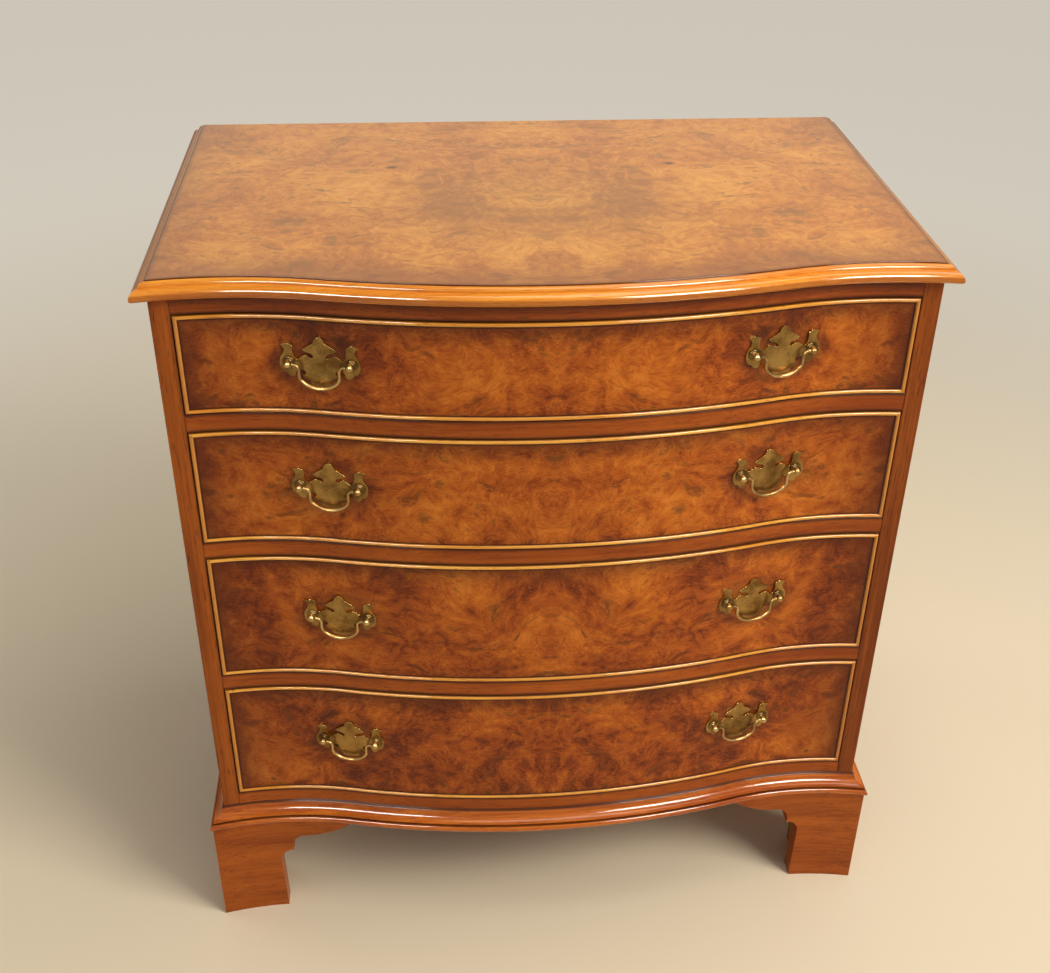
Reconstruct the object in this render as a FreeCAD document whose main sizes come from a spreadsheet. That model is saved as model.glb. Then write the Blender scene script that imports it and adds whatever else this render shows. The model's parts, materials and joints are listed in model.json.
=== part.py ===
import FreeCAD, Part
import math
import os
import re
import Sketcher
from FreeCAD import Placement, Rotation, Vector

# Serpentine-fronted chest of four long drawers, in millimetres.
# +Z is up, the front faces -Y, and the origin is under the middle of the chest on the floor.

doc = FreeCAD.newDocument("serpentine_chest")

# Driving dimensions
SIZES = {
    # carcase and its serpentine plan: a belly in the middle and a hollow near each corner
    "carcase_width": 772,
    "carcase_depth": 450,
    "side_thickness": 19,
    "belly": 30.5,
    "hollow": 5.4,
    "hollow_inset": 66.5,
    # heights from the floor up
    "foot_height": 147,
    "base_moulding_height": 24.5,
    "bottom_rail_height": 42,
    "rail_thickness": 20.5,
    "top_rail_height": 21,
    "top_thickness": 17,
    "drawer_1_height": 107.5,
    "drawer_2_height": 133,
    "drawer_3_height": 160,
    "drawer_4_height": 160,
    # rails, boards and strips inside the carcase
    "rail_depth": 62,
    "stub_length": 7,
    "stub_setback": 14,
    "back_thickness": 6,
    "back_rebate": 9,
    "bottom_board_thickness": 16,
    "runner_width": 26,
    "runner_thickness": 17,
    "stop_width": 38,
    "stop_depth": 22,
    "stop_height": 5,
    "stop_offset": 120,
    "stop_gap": 0.5,
    # moulded edge of the top
    "top_overhang": 13.5,
    "top_moulding_width": 14,
    "top_quirk": 1.1,
    "top_fillet": 1.2,
    "top_upper_run": 4.8,
    "top_upper_drop": 4.4,
    "top_step": 0.3,
    "top_lower_drop": 8,
    "top_nose": 2,
    "ovolo_fullness": 0.68,
    # moulded plinth under the carcase
    "base_projection": 16.5,
    "base_ledge": 2.2,
    "base_ledge_drop": 2.4,
    "base_cove_run": 10.2,
    "base_cove_drop": 10.8,
    "cove_fullness": 0.8,
    "base_fillet": 2,
    "base_quirk": 1.2,
    "base_band_bulge": 2.4,
    # bracket feet
    "foot_projection": 13.7,
    "foot_thickness": 20,
    "foot_sole": 78,
    "foot_ankle": 75.5,
    "foot_ankle_height": 82,
    "foot_cusp": 92,
    "foot_cusp_height": 98,
    "foot_step": 3,
    "foot_wing": 104,
    "foot_wing_height": 122,
    "foot_length": 164,
    "curl_fullness": 0.68,
    "wing_fullness": 1.4,
    "rear_bracket_length": 120,
    "foot_block": 44,
    # drawers
    "front_gap": 1.2,
    "running_gap": 0.3,
    "front_thickness": 20,
    "bead_width": 4.2,
    "bead_depth": 8,
    "bead_projection": 2.7,
    "bead_roundness": 0.54,
    "drawer_side_thickness": 12,
    "drawer_side_drop": 7,
    "drawer_back_thickness": 12,
    "drawer_back_drop": 6,
    "drawer_rear_gap": 8,
    "drawer_bottom_thickness": 6,
    "drawer_bottom_height": 8,
    "groove_depth": 5,
    "tail_length": 11,
    "tail_pitch": 32,
    "tail_slope": 2,
    # brass swan-neck handles
    "handle_inset": 157,
    "handle_rise": 4,
    "plate_width": 80,
    "plate_height": 53.5,
    "plate_rise": 28,
    "plate_thickness": 1.6,
    "plate_lift": 0.1,
    "post_spacing": 61.4,
    "post_standoff": 6,
    "post_ball": 8.6,
    "post_neck": 5,
    "post_flange": 11.4,
    "post_flange_thickness": 1.3,
    "stud_diameter": 4,
    "stud_clearance": 0.2,
    "stud_spare": 5,
    "nut_across": 8,
    "nut_thickness": 3,
    "nut_gap": 0.8,
    "bail_diameter": 3.6,
    "bail_pin_clearance": 0.05,
    "bail_pin_depth": 1.6,
    "bail_shoulder": 5.5,
    "bail_bend": 5.3,
    "bail_drop": 25,
    "bail_bow": 13.5,
    "bail_corner": 9,
}

# Values worked out from the driving dimensions
WORKED = {
    "half": "carcase_width / 2",
    "inner_half": "half - side_thickness",
    "corner_y": "(belly + base_projection - carcase_depth) / 2",
    "back_y": "corner_y + carcase_depth",
    "front_y": "corner_y - belly",
    "panel_y": "back_y - back_thickness",
    "rail_back_y": "corner_y + rail_depth",
    "hollow_x": "half - hollow_inset",
    "hollow_radius": "(hollow_inset^2 + hollow^2) / (2 * hollow)",
    "radius_sum": "(hollow_x^2 + (hollow + belly)^2) / (2 * (hollow + belly))",
    "convex_radius": "radius_sum - hollow_radius",
    "hollow_y": "corner_y + hollow - hollow_radius",
    "convex_y": "front_y + convex_radius",
    "opening_4": "foot_height + bottom_rail_height",
    "opening_3": "opening_4 + drawer_4_height + 2 * front_gap + rail_thickness",
    "opening_2": "opening_3 + drawer_3_height + 2 * front_gap + rail_thickness",
    "opening_1": "opening_2 + drawer_2_height + 2 * front_gap + rail_thickness",
    "top_rail_z": "opening_1 + drawer_1_height + 2 * front_gap",
    "carcase_top": "top_rail_z + top_rail_height",
    "front_half": "inner_half - front_gap",
    "drawer_inner": "front_half - drawer_side_thickness",
    "drawer_rear": "panel_y - drawer_rear_gap",
    "bottom_half": "drawer_inner + groove_depth",
    "side_foot": "running_gap - front_gap",
    "bottom_z": "side_foot + drawer_bottom_height",
    "handle_x": "half - handle_inset",
    "bail_half": "post_spacing / 2 - bail_shoulder - bail_bend",
    "corner_reach": "bail_half - bail_corner",
    "bow_radius": "(corner_reach^2 + bail_bow^2 - bail_corner^2) / (2 * (bail_bow - bail_corner))",
}

full_name = {}


def write_sheet(name, entries, as_text):
    sheet = doc.addObject("Spreadsheet::Sheet", name)
    for row, (alias, entry) in enumerate(entries.items(), start=1):
        sheet.set(f"A{row}", alias)
        sheet.set(f"B{row}", as_text(entry))
        sheet.setAlias(f"B{row}", alias)
        full_name[alias] = f"{name}.{alias}"
    return sheet


def bound(text):
    """A formula in bare names, rewritten with the sheet each name belongs to."""
    return re.sub(r"[a-z][a-z0-9_]*", lambda word: full_name.get(word[0], word[0]), str(text))


write_sheet("Sizes", SIZES, str)
for alias in WORKED:
    full_name[alias] = f"Worked.{alias}"
worked = write_sheet("Worked", WORKED, lambda formula: "=" + bound(formula).replace("Worked.", ""))
doc.recompute()


def value(text):
    """The present size of a formula, in millimetres."""
    answer = worked.evalExpression(bound(text))
    return float(getattr(answer, "Value", answer))


# Building blocks: bodies, sketches and boxes whose sizes follow the sheets

def new_body(label):
    body = doc.addObject("PartDesign::Body", "Body")
    body.Label = label
    return body


def plane_of(body, role):
    return next(item for item in body.Origin.OriginFeatures if item.Role == role)


def new_sketch(body, role, offset="0"):
    sketch = body.newObject("Sketcher::SketchObject", "Sketch")
    sketch.AttachmentSupport = [(plane_of(body, role), "")]
    sketch.MapMode = "FlatFace"
    sketch.setExpression("AttachmentOffset.Base.z", bound(offset))
    return sketch


def arc_between(start, end, radius, side):
    """The short arc from start to end; its centre lies left (side 1) or right (side -1) of the way."""
    chord = end - start
    across = Vector(-chord.y, chord.x, 0).normalize()
    reach = math.sqrt(radius ** 2 - chord.Length ** 2 / 4)
    centre = (start + end) / 2 + across * (side * reach)
    circle = Part.Circle(centre, Vector(0, 0, 1), radius)
    first, last = (start, end) if side > 0 else (end, start)
    angles = [math.atan2(point.y - centre.y, point.x - centre.x) for point in (first, last)]
    return Part.ArcOfCircle(circle, *angles)


def draw(sketch, points, closed=True):
    """Joins the points with lines, or with an arc where a point carries a radius and a side."""
    spots = [Vector(value(point[0]), value(point[1]), 0) for point in points]
    steps = len(points) if closed else len(points) - 1
    first = sketch.GeometryCount
    ends = []
    for step in range(steps):
        start = spots[step]
        end = spots[(step + 1) % len(points)]
        if len(points[step]) == 2:
            sketch.addGeometry(Part.LineSegment(start, end))
            ends.append((1, 2))
            continue
        radius, side = points[step][2:]
        index = sketch.addGeometry(arc_between(start, end, value(radius), side))
        ends.append((1, 2) if side > 0 else (2, 1))
        rule = sketch.addConstraint(Sketcher.Constraint("Radius", index, value(radius)))
        sketch.setExpression(f"Constraints[{rule}]", bound(radius))
    for step in range(steps if closed else steps - 1):
        after = (step + 1) % steps
        sketch.addConstraint(Sketcher.Constraint(
            "Coincident", first + step, ends[step][1], first + after, ends[after][0]))
    for number, point in enumerate(points):
        step, end = (number, 0) if number < steps else (steps - 1, 1)
        spot = (first + step, ends[step][end])
        for axis, kind, place in ((0, "DistanceX", spots[number].x), (1, "DistanceY", spots[number].y)):
            rule = sketch.addConstraint(Sketcher.Constraint(kind, -1, 1, *spot, place))
            sketch.setExpression(f"Constraints[{rule}]", bound(point[axis]))
    return sketch


def ring(sketch, x, y, radius):
    """A full circle."""
    middle = Vector(value(x), value(y), 0)
    index = sketch.addGeometry(Part.Circle(middle, Vector(0, 0, 1), value(radius)))
    for rule, formula in (
            (Sketcher.Constraint("DistanceX", -1, 1, index, 3, middle.x), x),
            (Sketcher.Constraint("DistanceY", -1, 1, index, 3, middle.y), y),
            (Sketcher.Constraint("Radius", index, value(radius)), radius)):
        sketch.setExpression(f"Constraints[{sketch.addConstraint(rule)}]", bound(formula))
    return sketch


def curved(points, fullness, side):
    """Turns the first of two points into the start of an arc; fullness is its radius over its chord."""
    (start_x, start_y), (end_x, end_y) = points
    chord = f"sqrt((({end_x}) - ({start_x}))^2 + (({end_y}) - ({start_y}))^2)"
    return start_x, start_y, f"{fullness} * {chord}", side


def pad(body, sketch, length, reverse=False):
    feature = body.newObject("PartDesign::Pad", "Pad")
    feature.Profile = sketch
    feature.Reversed = reverse
    feature.setExpression("Length", bound(length))
    body.Tip = feature
    return feature


def pocket(body, sketch, length=None, reverse=False):
    """Cuts the sketch away to a depth, or right through on both sides where no depth is given."""
    feature = body.newObject("PartDesign::Pocket", "Pocket")
    feature.Profile = sketch
    feature.Reversed = reverse
    if length is None:
        feature.Type = "ThroughAll"
        feature.Midplane = True
    else:
        feature.setExpression("Length", bound(length))
    body.Tip = feature
    return feature


def mirror_in_body(body, features):
    feature = body.newObject("PartDesign::Mirrored", "Mirrored")
    feature.Originals = features
    feature.MirrorPlane = (plane_of(body, "YZ_Plane"), [""])
    body.Tip = feature
    return feature


def place(item, x="0", y="0", z="0", angle="0", axis=Vector(0, 0, 1)):
    item.Placement = Placement(Vector(), Rotation(axis, 1))
    for name, formula in (("Base.x", x), ("Base.y", y), ("Base.z", z), ("Rotation.Angle", angle)):
        item.setExpression(f"Placement.{name}", bound(formula))
    return item


def box(label, x, y, z, wide, deep, high):
    item = doc.addObject("Part::Box", "Box")
    item.Label = label
    item.setExpression("Length", bound(wide))
    item.setExpression("Width", bound(deep))
    item.setExpression("Height", bound(high))
    return place(item, x, y, z)


def pair_box(label, x, y, z, wide, deep, high):
    """A box on the right and its twin on the left, as far from the middle."""
    return [
        box(label + " right", x, y, z, wide, deep, high),
        box(label + " left", f"-({x}) - ({wide})", y, z, wide, deep, high),
    ]


def mirrored(label, source, normal=Vector(1, 0, 0)):
    item = doc.addObject("Part::Mirroring", "Mirror")
    item.Label = label
    item.Source = source
    item.Normal = normal
    return item


def copy_of(label, source, **where):
    item = doc.addObject("App::Link", "Copy")
    item.Label = label
    item.LinkedObject = source
    return place(item, **where)


def group(label, items):
    item = doc.addObject("Part::Compound", "Group")
    item.Label = label
    item.Links = items
    return item


# The serpentine line in plan, stood off forward by any distance

def turn(off):
    """Where the belly's arc hands over to the hollow's arc."""
    share = f"(convex_radius + ({off})) / radius_sum"
    return f"hollow_x * {share}", f"convex_y - (convex_y - hollow_y) * {share}"


def flank_y(x, off):
    """Depth of the hollow's arc at a distance from the middle."""
    return f"hollow_y + sqrt((hollow_radius - ({off}))^2 - (({x}) - hollow_x)^2)"


def belly_y(x, off):
    """Depth of the belly's arc at a distance from the middle."""
    return f"convex_y - sqrt((convex_radius + ({off}))^2 - ({x})^2)"


def serpentine(half_width, off):
    """Left to right along the front."""
    turn_x, turn_y = turn(off)
    bend = f"hollow_radius - ({off})"
    end_y = flank_y(half_width, off)
    return [
        (f"-({half_width})", end_y, bend, -1),
        (f"-({turn_x})", turn_y, f"convex_radius + ({off})", 1),
        (turn_x, turn_y, bend, -1),
        (half_width, end_y),
    ]


def serpentine_back(half_width, off):
    """The same line from right to left, for the inner face of a curved board."""
    (left, end_y, bend, _), (_, turn_y, round_bend, _), (turn_x, *_), _ = serpentine(half_width, off)
    return [
        (half_width, end_y, bend, 1),
        (turn_x, turn_y, round_bend, -1),
        (f"-({turn_x})", turn_y, bend, 1),
        (left, end_y),
    ]


# Carcase: two sides joined by housed rails, with a rebated back and a housed bottom board

def carcase_side(label):
    body = new_body(label)
    plan = draw(new_sketch(body, "XY_Plane", "foot_height"), [
        ("inner_half", flank_y("inner_half", 0), "hollow_radius", -1),
        ("half", flank_y("half", 0)),
        ("half", "back_y"),
        ("inner_half", "back_y"),
    ])
    pad(body, plan, "carcase_top - foot_height")
    rebate = draw(new_sketch(body, "XY_Plane", "carcase_top"), [
        ("inner_half", "panel_y"),
        ("inner_half + back_rebate", "panel_y"),
        ("inner_half + back_rebate", "back_y"),
        ("inner_half", "back_y"),
    ])
    pocket(body, rebate)
    housings = new_sketch(body, "YZ_Plane", "inner_half")
    stub_y = "corner_y + stub_setback"
    slots = [(stub_y, "rail_back_y", f"opening_{number} - rail_thickness", f"opening_{number}")
             for number in (1, 2, 3)]
    slots += [
        (stub_y, "rail_back_y", "top_rail_z", "carcase_top"),
        (stub_y, "rail_back_y", "foot_height", "opening_4"),
    ]
    for front, back, low, high in slots:
        draw(housings, [(front, low), (back, low), (back, high), (front, high)])
    pocket(body, housings, "stub_length", reverse=True)
    board = draw(new_sketch(body, "YZ_Plane", "inner_half"), [
        ("rail_back_y", "foot_height"),
        ("panel_y", "foot_height"),
        ("panel_y", "foot_height + bottom_board_thickness"),
        ("rail_back_y", "foot_height + bottom_board_thickness"),
    ])
    pocket(body, board, "stub_length", reverse=True)
    return body


right_side = carcase_side("right_side")
left_side = mirrored("left_side", right_side)


def rail(label, low, high):
    """A serpentine-fronted rail with a stub at each end that enters the carcase side."""
    body = new_body(label)
    stub_end = "inner_half + stub_length"
    stub_y = "corner_y + stub_setback"
    plan = draw(new_sketch(body, "XY_Plane"), serpentine("inner_half", 0) + [
        ("inner_half", stub_y),
        (stub_end, stub_y),
        (stub_end, "rail_back_y"),
        (f"-({stub_end})", "rail_back_y"),
        (f"-({stub_end})", stub_y),
        ("-inner_half", stub_y),
    ])
    pad(body, plan, f"({high}) - ({low})")
    return place(body, z=low)


rails = [
    rail("top_rail", "top_rail_z", "carcase_top"),
    rail("upper_drawer_rail", "opening_1 - rail_thickness", "opening_1"),
    rail("middle_drawer_rail", "opening_2 - rail_thickness", "opening_2"),
    rail("lower_drawer_rail", "opening_3 - rail_thickness", "opening_3"),
    rail("bottom_rail", "foot_height", "opening_4"),
]

bottom_board = box(
    "bottom_board", "-inner_half - stub_length", "rail_back_y", "foot_height",
    "2 * (inner_half + stub_length)", "panel_y - rail_back_y", "bottom_board_thickness")
back_panel = box(
    "back_panel", "-inner_half - back_rebate", "panel_y", "foot_height",
    "2 * (inner_half + back_rebate)", "back_thickness", "carcase_top - foot_height")
back_rail = box(
    "back_rail", "-inner_half", "panel_y - rail_depth", "top_rail_z",
    "2 * inner_half", "rail_depth", "top_rail_height")

# Runners carry the drawers behind the rails; the top pair keeps the top drawer from tipping
strips = []
for number in (1, 2, 3, 4):
    strips += pair_box(
        f"runner {number}", "inner_half - runner_width", "rail_back_y",
        f"opening_{number} - runner_thickness", "runner_width", "panel_y - rail_back_y",
        "runner_thickness")
strips += pair_box(
    "kicker", "inner_half - runner_width", "rail_back_y", "top_rail_z", "runner_width",
    "panel_y - rail_depth - rail_back_y", "top_rail_height")
drawer_runners = group("drawer_runners", strips)

# Small blocks on the rails meet the inside of each drawer front and stop it flush
blocks = []
for number in (1, 2, 3, 4):
    stop_y = belly_y("stop_offset + stop_width / 2", "-front_thickness") + " + stop_gap"
    blocks += pair_box(
        f"stop {number}", "stop_offset - stop_width / 2", stop_y, f"opening_{number}",
        "stop_width", "stop_depth", "stop_height")
drawer_stops = group("drawer_stops", blocks)

# Top: a flat board with a mitred moulded edge along the front and both sides
TOP_INNER = "top_overhang - top_moulding_width"

top_panel = new_body("top_panel")
plan = draw(new_sketch(top_panel, "XY_Plane"), serpentine(f"half + {TOP_INNER}", TOP_INNER) + [
    (f"half + {TOP_INNER}", "back_y"),
    (f"-(half + {TOP_INNER})", "back_y"),
])
pad(top_panel, plan, "top_thickness")
place(top_panel, z="carcase_top")


def moulding(label, profile, inner, outer, low):
    """Three mitred lengths of one section; profile points are (run outward, height, arc)."""
    corners = [(f"half + {off}", flank_y(f"half + {off}", off)) for off in (f"({inner})", f"({outer})")]
    (inner_x, inner_y), (outer_x, outer_y) = corners
    lean_x = f"(({outer_x}) - ({inner_x}))"
    lean_y = f"(({outer_y}) - ({inner_y}))"
    near = (f"{inner_x} - {lean_x}", f"{inner_y} - {lean_y}")
    far = (f"{outer_x} + {lean_x}", f"{outer_y} + {lean_y}")
    clear = f"3 * {lean_x}"

    front = new_body(label + " front")
    path_end = f"{outer_x} + {lean_x} / 2"
    turn_x, turn_y = turn(0)
    path = draw(new_sketch(front, "XY_Plane"), [
        ("0", "front_y", "convex_radius", 1),
        (turn_x, turn_y, "hollow_radius", -1),
        (path_end, flank_y(path_end, 0)),
    ], closed=False)
    section = draw(new_sketch(front, "YZ_Plane"), [
        (f"front_y - ({run})", height, *arc) for run, height, *arc in profile])
    sweep = front.newObject("PartDesign::AdditivePipe", "Sweep")
    sweep.Profile = section
    sweep.Spine = (path, ["Edge1", "Edge2"])
    front.Tip = sweep
    mitre = draw(new_sketch(front, "XY_Plane"), [
        near, far, (f"{far[0]} + {clear}", far[1]), (f"{near[0]} + {clear}", near[1])])
    cut = pocket(front, mitre)
    mirror_in_body(front, [sweep, cut])

    side = new_body(label + " right")
    section = draw(new_sketch(side, "XZ_Plane", "-back_y"), [
        (f"half + ({run})", height, *arc[:1], *[-side for side in arc[1:]])
        for run, height, *arc in profile])
    pad(side, section, f"back_y - ({outer_y}) + {lean_x}")
    mitre = draw(new_sketch(side, "XY_Plane"), [
        near, far, (far[0], f"{far[1]} - {clear}"), (near[0], f"{near[1]} - {clear}")])
    pocket(side, mitre)

    lengths = [place(front, z=low), place(side, z=low)]
    lengths.append(mirrored(label + " left", side))
    return group(label, lengths)


upper_run = f"{TOP_INNER} + top_fillet + top_upper_run"
upper_start = (f"{TOP_INNER} + top_fillet", "top_thickness - top_quirk")
upper_end = (upper_run, f"{upper_start[1]} - top_upper_drop")
lower_start = (upper_run, f"{upper_end[1]} - top_step")
lower_end = ("top_overhang", f"{lower_start[1]} - top_lower_drop")
top_moulding = moulding("top_moulding", [
    (TOP_INNER, "top_thickness - top_quirk"),
    curved((upper_start, upper_end), "ovolo_fullness", 1),
    upper_end,
    curved((lower_start, lower_end), "ovolo_fullness", 1),
    lower_end,
    ("top_overhang", "top_nose"),
    ("top_overhang - top_nose", "0"),
    (TOP_INNER, "0"),
], TOP_INNER, "top_overhang", "carcase_top")

# Plinth: a coved moulding over a rounded band, planted on the foot of the carcase
cove_start = ("base_ledge", "base_moulding_height - base_ledge_drop")
cove_end = ("base_ledge + base_cove_run", f"{cove_start[1]} - base_cove_drop")
band_run = "base_projection - base_band_bulge"
band_top = f"({cove_end[1]} - base_fillet - base_quirk)"
band_radius = f"({band_top}^2 / 4 + base_band_bulge^2) / (2 * base_band_bulge)"
base_moulding = moulding("base_moulding", [
    ("0", "base_moulding_height"),
    curved((cove_start, cove_end), "cove_fullness", -1),
    cove_end,
    (cove_end[0], f"{cove_end[1]} - base_fillet"),
    (f"{cove_end[0]} - base_quirk", band_top),
    (band_run, band_top, band_radius, 1),
    (band_run, "0"),
    ("0", "0"),
], "0", "base_projection", "foot_height")


# Bracket feet: two scrolled boards mitred at each front corner, square at the back

def bracket_waste(start, sense):
    """The part sawn out of a bracket; start is the corner it is measured from, sense the way along."""
    def along(run):
        return f"({start}) + ({sense}) * ({run})"
    ankle = (along("foot_ankle"), "foot_ankle_height")
    cusp = (along("foot_cusp"), "foot_cusp_height")
    wing = (along("foot_wing"), "foot_wing_height")
    tip = (along("foot_length"), "foot_height")
    return [
        (along("foot_sole"), "-foot_step"),
        (along("foot_sole"), "0"),
        curved((ankle, cusp), "curl_fullness", -sense),
        curved((cusp, wing), "curl_fullness", -sense),
        curved((wing, tip), "wing_fullness", sense),
        tip,
        (along("foot_length + foot_step"), "foot_height"),
        (along("foot_length + foot_step"), "-foot_step"),
    ]


FOOT_INNER = "foot_projection - foot_thickness"
foot_x = "half + foot_projection"
foot_y = flank_y(foot_x, "foot_projection")
foot_inner_x = f"half + {FOOT_INNER}"
foot_inner_y = flank_y(foot_inner_x, FOOT_INNER)

front_bracket = new_body("front foot face")
tip_x = f"{foot_x} - foot_length"
plan = draw(new_sketch(front_bracket, "XY_Plane"), [
    (tip_x, flank_y(tip_x, "foot_projection"), "hollow_radius - foot_projection", -1),
    (foot_x, foot_y),
    (foot_inner_x, foot_inner_y, f"hollow_radius - ({FOOT_INNER})", 1),
    (tip_x, flank_y(tip_x, FOOT_INNER)),
])
pad(front_bracket, plan, "foot_height")
pocket(front_bracket, draw(new_sketch(front_bracket, "XZ_Plane"), bracket_waste(foot_x, -1)))

side_bracket = new_body("front foot return")
plan = draw(new_sketch(side_bracket, "XY_Plane"), [
    (foot_x, foot_y),
    (foot_x, f"{foot_y} + foot_length"),
    (foot_inner_x, f"{foot_y} + foot_length"),
    (foot_inner_x, foot_inner_y),
])
pad(side_bracket, plan, "foot_height")
pocket(side_bracket, draw(new_sketch(side_bracket, "YZ_Plane"), bracket_waste(foot_y, 1)))
front_right_foot = group("front_right_foot", [front_bracket, side_bracket])
front_left_foot = mirrored("front_left_foot", front_right_foot)

rear_bracket = new_body("rear foot side")
plan = draw(new_sketch(rear_bracket, "XY_Plane"), [
    (foot_inner_x, "back_y - foot_length"),
    (foot_x, "back_y - foot_length"),
    (foot_x, "back_y"),
    (foot_inner_x, "back_y"),
])
pad(rear_bracket, plan, "foot_height")
pocket(rear_bracket, draw(new_sketch(rear_bracket, "YZ_Plane"), bracket_waste("back_y", -1)))

rear_board = new_body("rear foot back")
board_end = f"{foot_inner_x} - rear_bracket_length"
outline = draw(new_sketch(rear_board, "XZ_Plane", "-back_y"), [
    (foot_inner_x, "0"),
    (foot_inner_x, "foot_height"),
    (board_end, "foot_height"),
    (board_end, "foot_wing_height"),
    (f"{foot_inner_x} - foot_sole", "0"),
])
pad(rear_board, outline, "foot_thickness")
rear_right_foot = group("rear_right_foot", [rear_bracket, rear_board])
rear_left_foot = mirrored("rear_left_foot", rear_right_foot)

block_x = f"{foot_inner_x} - foot_block"
block_front_y = f"corner_y + hollow - ({FOOT_INNER})"
block_rear_y = "back_y - foot_thickness - foot_block"
foot_blocks = group("foot_blocks", [
    *pair_box("front block", block_x, block_front_y, "0", "foot_block", "foot_block", "foot_height"),
    *pair_box("rear block", block_x, block_rear_y, "0", "foot_block", "foot_block", "foot_height"),
])


# Drawers: curved front with lapped dovetails, housed back and a grooved bottom

JOINT_Y = flank_y("drawer_inner", "-front_thickness")


def bottom_outline():
    """Plan of the drawer bottom, which is also the groove that holds it."""
    return serpentine("bottom_half", "groove_depth - front_thickness") + [
        ("bottom_half", "drawer_rear"),
        ("-bottom_half", "drawer_rear"),
    ]


def tail_corners(height):
    """Dovetails up the front end of a drawer side, as (root low, tip low, tip high, root high)."""
    count = max(2, round(value(height) / value("tail_pitch")))
    pitch = f"({height} - drawer_side_drop) / {count}"
    for number in range(count):
        root_low = f"{pitch} * {number} + {pitch} / 4"
        root_high = f"{pitch} * {number} + {pitch} * 3 / 4"
        yield root_low, f"{root_low} - tail_slope", f"{root_high} + tail_slope", root_high


TAIL_Y = f"{JOINT_Y} - tail_length"


def drawer_front(number, height):
    body = new_body(f"drawer {number} front board")
    rear_layer = draw(new_sketch(body, "XY_Plane"), serpentine("front_half", "-bead_depth") + [
        ("front_half", JOINT_Y)] + serpentine_back("drawer_inner", "-front_thickness") + [
        ("-front_half", JOINT_Y)])
    pad(body, rear_layer, height)
    face_half = "front_half - bead_width"
    middle = "-(bead_depth + front_thickness) / 2"
    face = draw(new_sketch(body, "XY_Plane", "bead_width"),
                serpentine(face_half, 0) + serpentine_back(face_half, middle))
    pad(body, face, f"{height} - 2 * bead_width")
    groove = draw(new_sketch(body, "XY_Plane", "bottom_z"), bottom_outline())
    pocket(body, groove, "drawer_bottom_thickness", reverse=True)
    sockets = new_sketch(body, "YZ_Plane", "front_half")
    for root_low, tip_low, tip_high, root_high in tail_corners(height):
        draw(sockets, [(JOINT_Y, root_low), (TAIL_Y, tip_low), (TAIL_Y, tip_high), (JOINT_Y, root_high)])
    cut = pocket(body, sockets, "drawer_side_thickness")
    mirror_in_body(body, [cut])
    return body


def drawer_side(label, height):
    body = new_body(label)
    top = f"{height} - drawer_side_drop"
    edge = []
    for root_low, tip_low, tip_high, root_high in tail_corners(height):
        edge += [(JOINT_Y, root_low), (TAIL_Y, tip_low), (TAIL_Y, tip_high), (JOINT_Y, root_high)]
    outline = draw(new_sketch(body, "YZ_Plane", "drawer_inner"), [
        ("drawer_rear", "side_foot"), (JOINT_Y, "side_foot"), *edge, (JOINT_Y, top), ("drawer_rear", top)])
    pad(body, outline, "drawer_side_thickness")
    groove = draw(new_sketch(body, "XY_Plane", "bottom_z"), bottom_outline())
    pocket(body, groove, "drawer_bottom_thickness", reverse=True)
    housing = draw(new_sketch(body, "XY_Plane", "bottom_z + drawer_bottom_thickness"), [
        ("drawer_inner", "drawer_rear - drawer_back_thickness"),
        ("bottom_half", "drawer_rear - drawer_back_thickness"),
        ("bottom_half", "drawer_rear"),
        ("drawer_inner", "drawer_rear"),
    ])
    pocket(body, housing, height, reverse=True)
    return body


# Cock beads: rounded strips let into the edges of each front, mitred at the corners
bead_nose = "bead_width * bead_roundness"
bead_shoulder = f"bead_projection - {bead_nose}"

level_bead = new_body("level bead")
turn_x, turn_y = turn(0)
path = draw(new_sketch(level_bead, "XY_Plane"), [
    ("0", "front_y", "convex_radius", 1),
    (turn_x, turn_y, "hollow_radius", -1),
    ("front_half", flank_y("front_half", 0)),
], closed=False)
section = draw(new_sketch(level_bead, "YZ_Plane"), [
    ("front_y + bead_depth", "0"),
    ("front_y + bead_depth", "bead_width"),
    (f"front_y - ({bead_shoulder})", "bead_width", bead_nose, 1),
    (f"front_y - ({bead_shoulder})", "0"),
])
sweep = level_bead.newObject("PartDesign::AdditivePipe", "Sweep")
sweep.Profile = section
sweep.Spine = (path, ["Edge1", "Edge2"])
level_bead.Tip = sweep
mitre = draw(new_sketch(level_bead, "XZ_Plane"), [
    ("front_half", "0"),
    ("front_half + bead_width", "0"),
    ("front_half + bead_width", "2 * bead_width"),
    ("front_half - 2 * bead_width", "2 * bead_width"),
])
cut = pocket(level_bead, mitre)
mirror_in_body(level_bead, [sweep, cut])
upper_level_bead = mirrored("upper level bead", level_bead, Vector(0, 0, 1))


def upright_bead(label, height):
    body = new_body(label)
    inner = "front_half - bead_width"
    plan = draw(new_sketch(body, "XY_Plane"), [
        (inner, flank_y(inner, "-bead_depth")),
        (inner, flank_y(inner, bead_shoulder), bead_nose, 1),
        ("front_half", flank_y("front_half", bead_shoulder)),
        ("front_half", flank_y("front_half", "-bead_depth")),
    ])
    pad(body, plan, height)
    mitres = new_sketch(body, "XZ_Plane")
    for end, sense in (("0", "1"), (height, "-1")):
        draw(mitres, [
            ("front_half", end),
            ("front_half - 2 * bead_width", f"{end} + {sense} * 2 * bead_width"),
            ("front_half - 2 * bead_width", f"{end} - {sense} * bead_width"),
            ("front_half", f"{end} - {sense} * bead_width"),
        ])
    pocket(body, mitres)
    return body


# Handle pieces, each drawn once about its own middle with the drawer front behind it (+Y)

STUD_LENGTH = "plate_thickness + front_thickness + nut_gap + nut_thickness + stud_spare"

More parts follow.
